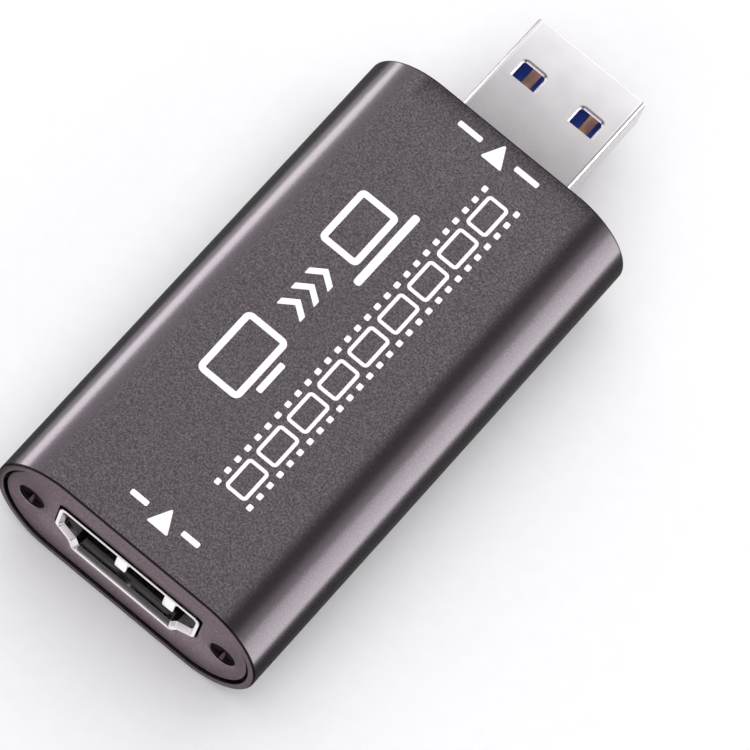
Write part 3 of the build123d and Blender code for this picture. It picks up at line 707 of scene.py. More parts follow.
@dataclass
class Sleeve:
    """The extruded sleeve, milled at both ends for the plates. Sizes are in millimetres."""

    wall: float = 1.2
    rim_wall: float = 0.7
    rim_edge: float = 0.2
    inner_edge: float = 0.05
    edge_steps: int = 4
    arc_steps: int = 72
    port_bore: float = 0.77
    port_wall: float = 1.1
    port_slit: float = 0.7
    outer_steps: int = 40
    bore_steps: int = 24
    web: float = 1.2
    web_edge: float = 0.05
    web_edge_steps: int = 2
    web_overlap: float = 0.2
    rib: float = 0.7
    rib_edge: float = 0.08
    rib_edge_steps: int = 3
    rib_hold: float = 1.4
    slot_gap: float = 0.08
    # A face that turns this far towards an end is on a rounded end edge and gets the painted shade line, and
    # one that turns further lies flat in the end
    shade_line_turn: float = 0.04
    flat_turn: float = 0.97
    low: Vector = field(default_factory=lambda: node_box("sleeve")[0])
    high: Vector = field(default_factory=lambda: node_box("sleeve")[1])

    @property
    def middle(self) -> float:
        """Height of the sleeve's middle."""
        return (self.low.z + self.high.z) / 2

    @property
    def pocket(self) -> float:
        """Depth of the milled end, down to the plate's seat."""
        return node_box("input_end_plate")[1].y - self.low.y

    def outline(self, inset: float) -> Points:
        """Return the sleeve's outer outline, drawn in by inset."""
        return stadium(self.high.x - inset, (self.high.z - self.low.z) / 2 - inset, self.arc_steps)

    def profile(self) -> Points:
        """Draw the wall's round trip.

        Returns:
            The trip as (inset, place along the length).
        """
        front, back = self.low.y, self.high.y
        seats = front + self.pocket, back - self.pocket
        corners = [(0, front), (self.rim_wall, front), (self.rim_wall, seats[0]), (self.wall, seats[0]),
                   (self.wall, seats[1]), (self.rim_wall, seats[1]), (self.rim_wall, back), (0, back)]
        return rounded(corners, [self.rim_edge, *[self.inner_edge] * 6, self.rim_edge], self.edge_steps)

    def rail(self, solid: Solid, outline: Points) -> None:
        """Run an outline along the inside, between the two plates.

        Args:
            solid: Solid that takes the rail.
            outline: Its outline as (x, z).
        """
        rings = [solid.ring(outline, y) for y in (self.low.y + self.pocket, self.high.y - self.pocket)]
        solid.bridge(rings)
        solid.fill(rings[0])
        solid.fill(rings[1])

    def wall_reach(self, rise: float) -> float:
        """Return how far out the middle of the rounded wall lies, at this rise over the sleeve's middle."""
        radius = (self.high.z - self.low.z) / 2
        return self.high.x - radius + math.sqrt((radius - self.wall / 2) ** 2 - rise ** 2)

    def port(self) -> list[Pair]:
        """Draw a screw port: a slit ring, once round outside and back along the bore.

        Returns:
            The ring as (radius, turn from the slit).
        """
        outer = self.port_bore + self.port_wall
        bore_slit, outer_slit = (math.asin(self.port_slit / 2 / radius) for radius in (self.port_bore, outer))
        outside = [(outer, outer_slit + (math.tau - 2 * outer_slit) * step / self.outer_steps)
                   for step in range(self.outer_steps + 1)]
        bore = [(self.port_bore, math.tau - bore_slit - (math.tau - 2 * bore_slit) * step / self.bore_steps)
                for step in range(self.bore_steps + 1)]
        return outside + bore

    def rails(self) -> Solid:
        """Build the screw ports and the ribs that hold the board, which the extrusion has inside.

        Returns:
            The rails, which meet inside the wall.
        """
        solid = Solid()
        board_low, board_high = node_box("circuit_board")
        port_x = CrossScrews(End.INPUT).axis
        wall_x = self.high.x - self.wall / 2
        web_x = port_x + self.port_bore + self.port_wall - self.web_overlap
        web = rounded(box_corners(wall_x - web_x, self.web), self.web_edge, self.web_edge_steps)
        inner_x = board_high.x - self.rib_hold
        shift = self.slot_gap + self.rib / 2
        for side in (-1, 1):
            port = [Vector((side * (port_x - radius * math.cos(turn)), self.middle + radius * math.sin(turn)))
                    for radius, turn in self.port()]
            self.rail(solid, port)
            self.rail(solid, moved(web, (side * (wall_x + web_x) / 2, self.middle)))
            for z in (board_high.z + shift, board_low.z - shift):
                reach = self.wall_reach(abs(z - self.middle) + self.rib / 2)
                rib = rounded(box_corners(reach - inner_x, self.rib), self.rib_edge, self.rib_edge_steps)
                self.rail(solid, moved(rib, (side * (reach + inner_x) / 2, z)))
        return solid

    def build(self) -> list[bpy.types.Object]:
        """Build the sleeve as one wall turned through its profile, with its rails inside.

        Returns:
            The wall and the rails.
        """
        solid = Solid()
        rings = [solid.ring(self.outline(p.x), p.y, (0.0, self.middle)) for p in self.profile()]
        solid.bridge(rings, closed=True)
        body = solid.piece("sleeve_body", SLEEVE_FINISH, "anodised_sleeve", ["sleeve"])
        body.data.materials.append(EDGE_PAINTED_SHADE_FINISH.material())
        body.data.materials.append(PLATE_FINISH.material())
        # The rounded end edges get the dark painted shade line, and the flat end faces the plate's finish
        for face in body.data.polygons:
            if abs(face.normal.y) > self.shade_line_turn:
                face.material_index = 2 if abs(face.normal.y) > self.flat_turn else 1
        return [body, self.rails().piece("sleeve_rails", PLATE_FINISH, "anodised_sleeve")]


@dataclass
class CrossScrews:
    """Two countersunk cross-head screws at one end. Sizes are in millimetres."""

    end: End
    edge: float = 0.06
    edge_steps: int = 3
    head_radius: float = 1.3
    core_radius: float = 0.58
    crest_radius: float = 0.75
    pitch: float = 0.4
    plain_shank: float = 0.15
    tip_length: float = 0.3
    tip_share: float = 0.7
    rings_per_turn: int = 12
    drive_span: float = 1.95
    drive_width: float = 0.46
    drive_corner: float = 0.05
    drive_corner_steps: int = 3
    # The recess narrows as it goes down: its share of the span, and the depth
    drive_levels: tuple[Pair, ...] = ((1.0, 0.0), (0.96, 0.05), (0.62, 0.434), (0.3, 0.62))
    # Share of the arms' width that is left where the recess would come to a point
    least_arm: float = 0.35
    steps: int = 48

    @property
    def node(self) -> str:
        """Name of the CAD node of these screws."""
        return f"{self.end.word}_end_screws"

    @property
    def axis(self) -> float:
        """Distance of a screw's axis from the middle."""
        return node_box(self.node)[1].x - self.head_radius

    def drive(self, share: float) -> Points:
        """Draw the cross recess.

        Args:
            share: Share of the span to which its arms are shortened.

        Returns:
            The outline as (x, z).
        """
        arm = self.drive_span / 2 * share
        half = self.drive_width / 2 * (self.least_arm + (1 - self.least_arm) * share)
        corners = []
        for turn in range(4):
            spin = Matrix.Rotation(-math.pi / 2 * turn, 2)
            corners += [spin @ Vector(corner) for corner in ((half, half), (arm, half), (arm, -half))]
        return rounded(corners, self.drive_corner * (1 + share) / 2, self.drive_corner_steps)

    def thread(self, depth: float) -> Points:
        """Draw the thread's section at a depth, which turns with it.

        Args:
            depth: Depth under the head's face.

        Returns:
            The section as (x, z).
        """
        section = []
        for step, place in enumerate(circle(1.0, self.steps)):
            phase = (depth / self.pitch - step / self.steps) % 1
            radius = self.core_radius + (self.crest_radius - self.core_radius) * abs(2 * phase - 1)
            section.append(place * radius)
        return section

    def screw(self, solid: Solid, x: float) -> None:
        """Build one screw about its own axis.

        Args:
            solid: Solid that takes the screw.
            x: Place of its axis across the stick.
        """
        low, high = node_box(self.node)
        out = self.end.value
        face = high.y if out > 0 else low.y
        length = high.y - low.y
        centre = (x, (low.z + high.z) / 2)
        neck = self.edge + self.head_radius - self.crest_radius
        start, stop = neck + self.plain_shank, length - self.tip_length
        turns = int((stop - start) / self.pitch * self.rings_per_turn)
        shapes = [(circle(self.head_radius - self.edge * inward, self.steps), self.edge * down)
                  for inward, down in quarter(self.edge_steps)]
        shapes += [(circle(self.crest_radius, self.steps), depth) for depth in (neck, start)]
        depths = [start + (stop - start) * number / turns for number in range(1, turns + 1)]
        shapes += [(self.thread(depth), depth) for depth in depths]
        shapes.append((circle(self.core_radius * self.tip_share, self.steps), length))
        rings = [solid.ring(outline, face - out * depth, centre) for outline, depth in shapes]
        solid.bridge(rings)
        solid.cap(rings[-1])
        cross = [solid.ring(self.drive(share), face - out * depth, centre)
                 for share, depth in self.drive_levels]
        solid.bridge(cross)
        solid.cap(cross[-1])
        solid.fill(rings[0], cross[0])

    def build(self) -> bpy.types.Object:
        """Build both screws.

        Returns:
            The piece that holds them.
        """
        solid = Solid()
        for side in (-1, 1):
            self.screw(solid, side * self.axis)
        return solid.piece(f"{self.end.word}_cross_screws", SCREW_FINISH, "black_screw", [self.node])


@dataclass
class EndPlate:
    """A plate that drops into the milled end of the sleeve. Sizes are in millimetres."""

    end: End
    edge: float = 0.05
    edge_steps: int = 4
    hole_edge: float = 0.05
    hole_edge_steps: int = 3
    mouth_gap: float = 0.08
    corner: float = 0.38
    plug_corner_steps: int = 6
    sink_radius: float = 1.45
    # The countersink's broken edge: how far in and how far down
    sink_edge: Pair = (0.04, 0.015)
    bore_radius: float = 0.8
    fit_gap: float = 0.2
    sunk: float = 0.08
    arc_steps: int = 72
    hole_steps: int = 48

    @property
    def node(self) -> str:
        """Name of the CAD node of this plate."""
        return f"{self.end.word}_end_plate"

    def opening(self, growth: float) -> Points:
        """Draw the connector's cut-out.

        Args:
            growth: How far it is widened on each side.

        Returns:
            The outline as (x, z).
        """
        reach = self.mouth_gap + growth
        if self.end is End.INPUT:
            socket = InputSocket()
            return socket.mouth(socket.lip_half_width + reach, socket.lip_half_height + reach, self.corner)
        plug = OutputPlug()
        corners = box_corners(plug.width + 2 * reach, plug.height + 2 * reach)
        return rounded(corners, plug.corner + reach, self.plug_corner_steps)

    def edge_trip(self, edge: float, steps: int, face: float, back: float) -> list[Pair]:
        """Draw a wall's way from its rounded front edge to the back.

        Args:
            edge: Radius of the front edge.
            steps: Number of steps in it.
            face: Place of the front along the length.
            back: Place of the back.

        Returns:
            The way as (inset, place along the length).
        """
        out = self.end.value
        front = [(edge * inward, face - out * edge * down) for inward, down in quarter(steps)]
        return [*front, (0.0, back)]

    def build(self) -> bpy.types.Object:
        """Build the plate with its cut-out and two countersunk holes.

        Returns:
            The plate.
        """
        low, high = node_box(self.node)
        screw_axis = CrossScrews(self.end).axis
        out = self.end.value
        face, back = (high.y - self.sunk, low.y) if out > 0 else (low.y + self.sunk, high.y)
        middle = (low.z + high.z) / 2
        half_width = high.x - self.fit_gap
        half_height = (high.z - low.z) / 2 - self.fit_gap
        solid = Solid()
        outside = [solid.ring(stadium(half_width - inset, half_height - inset, self.arc_steps), y,
                              (0.0, middle))
                   for inset, y in self.edge_trip(self.edge, self.edge_steps, face, back)]
        inside = [solid.ring(self.opening(growth), y, (0.0, middle))
                  for growth, y in self.edge_trip(self.hole_edge, self.hole_edge_steps, face, back)]
        fronts, backs = [outside[0], inside[0]], [outside[-1], inside[-1]]
        solid.bridge(outside)
        solid.bridge(inside)
        for side in (-1, 1):
            steps = [(self.sink_radius, 0.0), (self.sink_radius - self.sink_edge[0], self.sink_edge[1]),
                     (self.bore_radius, self.sink_radius - self.bore_radius),
                     (self.bore_radius, abs(back - face))]
            axis = (side * screw_axis, middle)
            sink = [solid.ring(circle(radius, self.hole_steps), face - out * depth, axis)
                    for radius, depth in steps]
            solid.bridge(sink)
            fronts.append(sink[0])
            backs.append(sink[-1])
        solid.fill(*fronts)
        solid.fill(*backs)
        return solid.piece(f"{self.end.word}_plate", PLATE_FINISH, "anodised_plate", [self.node], sharp=40)


@dataclass
class InputSocket:
    """The display-cable socket: its stamped shell with flared lip and two springs. Sizes in millimetres."""

    middle: float = 6.5
    opening_half_width: float = 7.0
    opening_half_height: float = 2.275
    # Half of the mouth outline, from the top corner to the floor, as shares of half its size
    mouth_shares: tuple[Pair, ...] = ((1, 1), (1, -0.24), (0.79, -0.59), (0.72, -1))
    mouth_steps: int = 5
    sheet: float = 0.3
    lip_sheet: float = 0.4
    lip_flare: float = 0.3
    lip_length: float = 0.5
    # Roundings of the shell's section, from the outer back edge over the lip to the inner back edge
    section_edges: tuple[float, ...] = (0.04, 0.1, 0.07, 0.09, 0.06, 0.04)
    section_steps: int = 5
    corner: float = 0.3
    spring_places: Pair = (-0.8, 4.4)
    spring_width: float = 1.2
    spring_sheet: float = 0.2
    spring_drop: float = 2.6
    spring_run: float = 3.2
    spring_bend: float = 0.3
    spring_bend_steps: int = 8
    spring_end_drop: float = 0.15
    spring_corner: float = 0.56
    spring_edge: float = 0.05
    spring_step: float = 0.12
    leg_depths: Pair = (3.2, 9.8)
    leg_width: float = 1.6
    leg_top: float = 1.0
    leg_gap: float = 0.02

    @property
    def lip_half_width(self) -> float:
        """Half of the lip's outer width."""
        return self.opening_half_width + self.lip_flare + self.lip_sheet

    @property
    def lip_half_height(self) -> float:
        """Half of the lip's outer height."""
        return self.opening_half_height + self.lip_flare + self.lip_sheet

    def mouth(self, half_width: float, half_height: float, radius: float) -> Points:
        """Draw the mouth outline at a size: wide above, stepping in to a narrower floor.

        Args:
            half_width: Half of the width.
            half_height: Half of the height.
            radius: Radius of its corners.

        Returns:
            The points as (x, z).
        """
        right = [(x * half_width, z * half_height) for x, z in self.mouth_shares]
        left = [(-x, z) for x, z in reversed(right)]
        return rounded(right + left, radius, self.mouth_steps)

    def shell(self) -> Solid:
        """Build the drawn tube with its flare and rolled front edge.

        Returns:
            The tube.
        """
        low, high = node_box("input_socket_shell")
        front, back = low.y, high.y
        throat = front + self.lip_length
        corners = [(self.sheet, back), (self.sheet, throat), (self.lip_flare + self.lip_sheet, front),
                   (self.lip_flare, front), (0, throat), (0, back)]
        solid = Solid()
        rings = []
        for grow, y in rounded(corners, self.section_edges, self.section_steps):
            outline = self.mouth(self.opening_half_width + grow, self.opening_half_height + grow,
                                 self.corner + grow / 2)
            rings.append(solid.ring(outline, y, (0.0, self.middle)))
        solid.bridge(rings, closed=True)
        return solid

    def spring_line(self) -> Points:
        """Draw a spring from the lip down and back to its free end.

        Returns:
            Its middle line as (y, z), in short steps.
        """
        front = node_box("input_socket_shell")[0].y
        roof = self.middle + self.opening_half_height
        root = roof + self.lip_flare
        top = Vector((front + self.spring_sheet, root + self.lip_sheet / 2))
        low = Vector((front + self.spring_sheet, root - self.spring_drop))
        free = Vector((front + self.spring_run, roof - self.spring_end_drop))
        line = [top, *corner_arc(top, low, free, self.spring_bend, self.spring_bend_steps), free]
        dense = []
        for here, there in zip(line, line[1:]):
            parts = max(1, int((there - here).length / self.spring_step))
            dense += [here.lerp(there, part / parts) for part in range(parts)]
        return [*dense, free]

    def spring(self, solid: Solid, x: float) -> None:
        """Sweep one spring as a thin strip whose front narrows to a rounded end.

        Args:
            solid: Solid that takes the spring.
            x: Place of its middle across the stick.
        """
        line = self.spring_line()
        bottom = min(p.y for p in line) - self.spring_sheet / 2
        rings = []
        for here, before, after in zip(line, line[:1] + line, line[1:] + line[-1:]):
            ahead = after - before
            normal = Vector((-ahead.y, ahead.x)).normalized() * self.spring_sheet / 2
            fall = min(1.0, max(0.0, 1 - (here.y - bottom) / self.spring_corner))
            width = self.spring_width / 2 - self.spring_corner * (1 - math.sqrt(1 - fall ** 2))
            flat = width - min(self.spring_edge, width / 4)
            section = [(width, -0.5), (width, 0.5), (flat, 1.0), (-flat, 1.0),
                       (-width, 0.5), (-width, -0.5), (-flat, -1.0), (flat, -1.0)]
            rings.append(solid.points((x + across, here.x + normal.x * out, here.y + normal.y * out)
                                      for across, out in section))
        solid.bar(rings)

    def build(self) -> list[bpy.types.Object]:
        """Build the shell and its springs.

        Returns:
            The shell with its legs, and the springs.
        """
        low = node_box("input_socket_shell")[0]
        shell = self.shell()
        inner = self.opening_half_width + self.leg_gap
        for side in (-1, 1):
            for depth in self.leg_depths:
                shell.leg((side * inner, side * (inner + self.sheet)), low.y + depth,
                          (low.z, self.middle + self.leg_top), self.leg_width)
        springs = Solid()
        for place in self.spring_places:
            self.spring(springs, place)
        # The springs' lighter colour is a painted highlight
        return [shell.piece("socket_shell", SOCKET_FINISH, "nickel_shell", ["input_socket_shell"]),
                springs.piece("socket_springs", SPRING_PAINTED_HIGHLIGHT_FINISH, "nickel_shell", sharp=50)]


@dataclass
class OutputPlug:
    """The computer plug: its folded shell with windows and the strips on its blade. Sizes in millimetres."""

    middle: float = 6.5
    width: float = 12.0
    height: float = 4.5
    sheet: float = 0.3
    corner: float = 0.5
    least_corner: float = 0.12
    corner_steps: int = 8
    tip_edge: float = 0.18
    inner_tip_edge: float = 0.05
    root_edge: float = 0.04
    edge_steps: int = 5
    window_width: float = 2.4
    window_length: float = 1.9
    window_spacing: float = 6.4
    window_from_tip: float = 5.15
    window_corner: float = 0.3
    near_corner: float = 0.06
    window_steps: int = 6
    window_flare: float = 0.24
    side_share: float = 0.8
    window_bevel: float = 0.2
    # The rounded bevel, from its foot to the skin: shares of its depth and of the flare
    bevel_shares: tuple[Pair, ...] = ((1.0, 0.0), (0.22, 0.78), (0.06, 1.05), (0.0, 1.35))
    # How far the cutters go past the sheet: a little on one side, more on the other
    overrun: float = 0.2
    far_overrun: float = 0.5
    seam_width: float = 0.08
    seam_overrun: float = 1.0
    key_width: float = 1.6
    key_length: float = 2.2
    leg_width: float = 1.6
    leg_inset: float = 1.6
    leg_top: float = 1.2
    strip_places: tuple[float, ...] = (-3.2, -1.0, 1.0, 3.2)
    strip_width: float = 1.0
    strip_sheet: float = 0.2
    strip_crown: float = 0.12
    crown_steps: int = 10
    strip_foot: float = 0.9
    tail_lean: float = 0.1
    foot_fall: float = 0.001
    # A face squarer to an axis than this is one of the sheet's flats
    flat_turn: float = 0.9999

    def section(self, growth: float) -> Points:
        """Return the tube's outline, grown by this much on each side."""
        corners = box_corners(self.width + 2 * growth, self.height + 2 * growth)
        return rounded(corners, max(self.least_corner, self.corner + growth), self.corner_steps)

    def tube(self) -> Solid:
        """Build the folded tube with a rounded tip.

        Returns:
            The tube.
        """
        low, high = node_box("output_plug_shell")
        corners = [(0, low.y), (0, high.y), (-self.sheet, high.y), (-self.sheet, low.y)]
        edges = [self.root_edge, self.tip_edge, self.inner_tip_edge, self.root_edge]
        solid = Solid()
        rings = [solid.ring(self.section(growth), y, (0.0, self.middle))
                 for growth, y in rounded(corners, edges, self.edge_steps)]
        solid.bridge(rings, closed=True)
        return solid

    def window_outline(self, flare: float) -> Points:
        """Draw a window's outline.

        Args:
            flare: How far it is widened on every side but the one towards the body.

        Returns:
            The outline as (x, y) about the window's middle.
        """
        half = self.window_width / 2 + self.side_share * flare
        near, far = -self.window_length / 2, self.window_length / 2 + flare
        corner = self.window_corner + flare
        return rounded([(half, near), (half, far), (-half, far), (-half, near)],
                       [self.near_corner, corner, corner, self.near_corner], self.window_steps)

    def window(self, side: int, flared: bool) -> Solid:
        """Build the cutter of one window.

        Args:
            side: Left or right, as a sign.
            flared: Whether it is an upper window, pressed in with a bevel, or a plain lower one.

        Returns:
            The cutter.
        """
        x = side * self.window_spacing / 2
        y = node_box("output_plug_shell")[1].y - self.window_from_tip
        levels = [(-self.sheet - self.far_overrun, 0.0)]
        if flared:
            levels += [(-self.window_bevel * down, self.window_flare * wide)
                       for down, wide in self.bevel_shares]
        levels.append((self.overrun, levels[-1][1]))
        solid = Solid()
        rings = []
        for level, growth in levels:
            rise = self.height / 2 + level
            z = self.middle + (rise if flared else -rise)
            rings.append(solid.points((x + p.x, y + p.y, z) for p in self.window_outline(growth)))
        solid.bar(rings)
        return solid

    def seam(self) -> Solid:
        """Build the cutter of the keyed seam under the plug.

        Returns:
            The cutter.
        """
        low, high = node_box("output_plug_shell")
        root, tip = low.y - self.seam_overrun, high.y + self.seam_overrun
        key = (low.y + high.y) / 2
        half, width = self.seam_width / 2, self.key_width / 2
        near, far = key - self.key_length / 2, key + self.key_length / 2
        outline = [(-half, root), (half, root), (half, near - half), (width + half, near - half),
                   (width + half, far + half), (half, far + half), (half, tip), (-half, tip),
                   (-half, far - half), (width - half, far - half), (width - half, near + half),
                   (-half, near + half)]
        solid = Solid()
        floor = self.middle - self.height / 2
        levels = (floor - self.far_overrun, floor + self.sheet + self.overrun)
        solid.bar([solid.points((x, y, z) for x, y in outline) for z in levels])
        return solid

    def strips(self) -> Solid:
        """Build the long contact strips with crowned tops, each with its tail and foot.

        Returns:
            The four strips.
        """
        low, high = node_box("output_long_contacts")
        half, sheet = self.strip_width / 2, self.strip_sheet
        across = [-half + 2 * half * step / self.crown_steps for step in range(self.crown_steps + 1)]
        section = [(x, -self.strip_crown * (x / half) ** 2) for x in across]
        section += [(half, -sheet), (-half, -sheet)]
        tail, foot = low.y + self.strip_foot, low.z + sheet
        solid = Solid()
        for place in self.strip_places:
            rings = [solid.points((place + x, y, high.z + z) for x, z in section) for y in (high.y, tail)]
            rings.append(solid.points((place + x, tail - self.tail_lean + z, foot) for x, z in section))
            rings.append(solid.points((place + x, low.y, foot - self.foot_fall + z) for x, z in section))
            solid.bar(rings)
        return solid

    def build(self) -> list[bpy.types.Object]:
        """Build the shell, its legs and the long strips.

        Returns:
            The three pieces.
        """
        low = node_box("output_plug_shell")[0]
        shell = self.tube()
        for side in (-1, 1):
            for flared in (True, False):
                shell.cut(self.window(side, flared))
        shell.cut(self.seam())
        legs = Solid()
        for side in (-1, 1):
            outer = side * self.width / 2
            legs.leg((outer - side * self.sheet, outer), low.y + self.leg_inset,
                     (low.z, self.middle + self.leg_top), self.leg_width)
        made = shell.piece("plug_shell_folded", PLUG_FINISH, "plug_shell", ["output_plug_shell"], sharp=32)
        for face in made.data.polygons:
            face.use_smooth = max(abs(part) for part in face.normal) < self.flat_turn
        return [made, legs.piece("plug_shell_legs", PLUG_FINISH, "plug_shell"),
                self.strips().piece("plug_long_strips", COPPER_FINISH, "copper_contact",
                                    ["output_long_contacts"], sharp=50)]


@dataclass
class PrintedMarks:
    """Plain white marks on the sleeve's top: arrows at the ends and a pictogram of the picture's way.

    Places are (along the length, up in reading direction) and sizes follow them, all in millimetres.
    """

    film: float = 0.012
    sunk: float = 0.004
    stroke: float = 0.62
    bar_corner: float = 0.15
    bar_steps: int = 3
    # Place along the length and whole width of the arrow at each end
    end_arrows: tuple[Pair, Pair] = ((-28.2, 7.4), (17.2, 8.8))
    arrow_size: float = 2.3
    arrow_gap: float = 0.7
    arrow_bar: float = 0.55
    arrow_corner: float = 0.12
    arrow_steps: int = 3
    # Two screens, each with the bar it stands on: centre, size and corner radius
    screens: tuple[tuple[Pair, Pair, float], ...] = (
        ((-12.3, 4.5), (7.2, 4.6), 0.7), ((3.6, 4.55), (6.2, 4.2), 0.6))
    stands: tuple[tuple[Pair, Pair, float], ...] = (
        ((-12.3, 1.45), (3.4, 0.6), 0.15), ((3.6, 1.5), (8.6, 0.75), 0.3))
    chevron_count: int = 3
    chevron_place: Pair = (-6.2, 4.1)
    chevron_pitch: float = 1.9
    chevron_height: float = 2.6
    # The chevron's depth as a share of its height, and its line as a share of the stroke
    chevron_depth: float = 0.38
    chevron_line: float = 1.15
    chevron_corner: float = 0.06
    chevron_steps: int = 2
    frame_steps: int = 5
    least_inner_corner: float = 0.1
    film_count: int = 9
    film_place: Pair = (-20.8, -2.9)
    film_pitch: float = 4.1
    film_size: Pair = (3.5, 2.3)
    film_corner: float = 0.45
    film_stroke: float = 0.34
    hole_count: int = 28
    hole_start: float = -22.6
    hole_pitch: float = 1.35
    hole_rows: Pair = (-1.15, -4.65)
    hole_size: Pair = (0.6, 0.5)
    hole_corner: float = 0.12
    top: float = field(default_factory=lambda: node_box("sleeve")[1].z)

    def mark(self, solid: Solid, outline: Points, holes: Sequence[Points] = ()) -> None:
        """Raise one flat mark.

        Args:
            solid: Solid that takes the mark.
            outline: Its outline.
            holes: Outlines left open in it.
        """
        lower, upper = [], []
        for loop in (outline, *holes):
            heights = (self.top - self.sunk, self.top + self.film)
            rings = [solid.points((-p.y, p.x, z) for p in loop) for z in heights]
            solid.bridge(rings)
            lower.append(rings[0])
            upper.append(rings[1])
        solid.fill(*lower)
        solid.fill(*upper)

    def bar(self, solid: Solid, centre: Pair, size: Pair, radius: float) -> None:
        """Raise a bar with rounded corners."""
        self.mark(solid, moved(rounded(box_corners(*size), radius, self.bar_steps), centre))

    def hollow(self, solid: Solid, centre: Pair, size: Pair, radius: float, stroke: float) -> None:
        """Raise a hollow frame.

        Args:
            solid: Solid that takes the mark.
            centre: Its centre.
            size: Its outer size.
            radius: Radius of its outer corners.
            stroke: Width of its line.
        """
        inner_size = (size[0] - 2 * stroke, size[1] - 2 * stroke)
        inner_radius = max(self.least_inner_corner, radius - stroke)
        inner = moved(rounded(box_corners(*inner_size), inner_radius, self.frame_steps), centre)
        self.mark(solid, moved(rounded(box_corners(*size), radius, self.frame_steps), centre), [inner])

    def chevron(self, solid: Solid, centre: Pair) -> None:
        """Raise a chevron that points along the length towards the plug.

        Args:
            solid: Solid that takes the mark.
            centre: Its centre.
        """
        half = self.chevron_height / 2
        depth, stroke = self.chevron_height * self.chevron_depth, self.stroke * self.chevron_line
        corners = [(-depth / 2, -half), (-depth / 2 + stroke, -half), (depth / 2 + stroke, 0.0),
                   (-depth / 2 + stroke, half), (-depth / 2, half), (depth / 2, 0.0)]
        self.mark(solid, moved(rounded(corners, self.chevron_corner, self.chevron_steps), centre))

    def end_arrow(self, solid: Solid, y: float, width: float) -> None:
        """Raise an arrow head, which points to the plug, between two short bars across the stick.

        Args:
            solid: Solid that takes the marks.
            y: Place along the length.
            width: Whole width across the stick.
        """
        half = self.arrow_size / 2
        head = rounded([(-half, -half), (half, 0.0), (-half, half)], self.arrow_corner, self.arrow_steps)
        self.mark(solid, moved(head, (y, 0.0)))
        bar = (width - self.arrow_size) / 2 - self.arrow_gap
        for side in (-1, 1):
            self.bar(solid, (y, side * (width / 2 - bar / 2)), (self.arrow_bar, bar), self.bar_corner)

    def build(self) -> bpy.types.Object:
        """Build every mark as one film.

        Returns:
            The film.
        """
        solid = Solid()
        for y, width in self.end_arrows:
            self.end_arrow(solid, y, width)
        for screen, stand in zip(self.screens, self.stands):
            self.hollow(solid, *screen, self.stroke)
            self.bar(solid, *stand)
        for number in range(self.chevron_count):
            start, rise = self.chevron_place
            self.chevron(solid, (start + self.chevron_pitch * number, rise))
        for number in range(self.film_count):
            start, rise = self.film_place
            self.hollow(solid, (start + self.film_pitch * number, rise), self.film_size, self.film_corner,
                        self.film_stroke)
        for number in range(self.hole_count):
            for row in self.hole_rows:
                self.bar(solid, (self.hole_start + self.hole_pitch * number, row), self.hole_size,
                         self.hole_corner)
        return solid.piece("printed_marks", INK, "anodised_sleeve")


@dataclass(frozen=True)
class Card:
    """A light or black card that the camera does not see. Places are in millimetres.

    Its levels are the light at its first edge and at the edge opposite. A mirrored card shows only in
    reflections, so that the floor stays evenly lit, and any other one lights only matt surfaces.
    """

    name: str
    corners: tuple[Triple, ...]
    levels: Pair
    mirrored: bool = True

    def material(self) -> bpy.types.Material:
        """Make the card's even or fading glow.

        Returns:
            The material.
        """
        made = bpy.data.materials.new(self.name)
        made.use_nodes = True
        tree = made.node_tree
        tree.nodes.clear()
        places = [Vector(corner) for corner in self.corners]
        first, last = (places[0] + places[1]) / 2, (places[2] + places[3]) / 2
        ahead = (last - first).normalized()
        place = add_node(tree, "ShaderNodeTexCoord").outputs["Object"]
        along = add_node(tree, "ShaderNodeVectorMath", {0: place, 1: ahead}, operation="DOT_PRODUCT")
        level = add_node(tree, "ShaderNodeMapRange", {
            "Value": along.outputs["Value"], 1: first.dot(ahead) * MM, 2: last.dot(ahead) * MM,
            3: self.levels[0], 4: self.levels[1]})
        glow = add_node(tree, "ShaderNodeEmission", {"Strength": level.outputs[0]})
        add_node(tree, "ShaderNodeOutputMaterial", {"Surface": glow.outputs[0]})
        return made

    def build(self) -> None:
        """Hang up the card."""
        solid = Solid()
        solid.cap(solid.points(self.corners))
        made = solid.finished(self.name, self.material())
        made.visible_camera = made.visible_shadow = False
        made.visible_glossy, made.visible_diffuse = self.mirrored, not self.mirrored


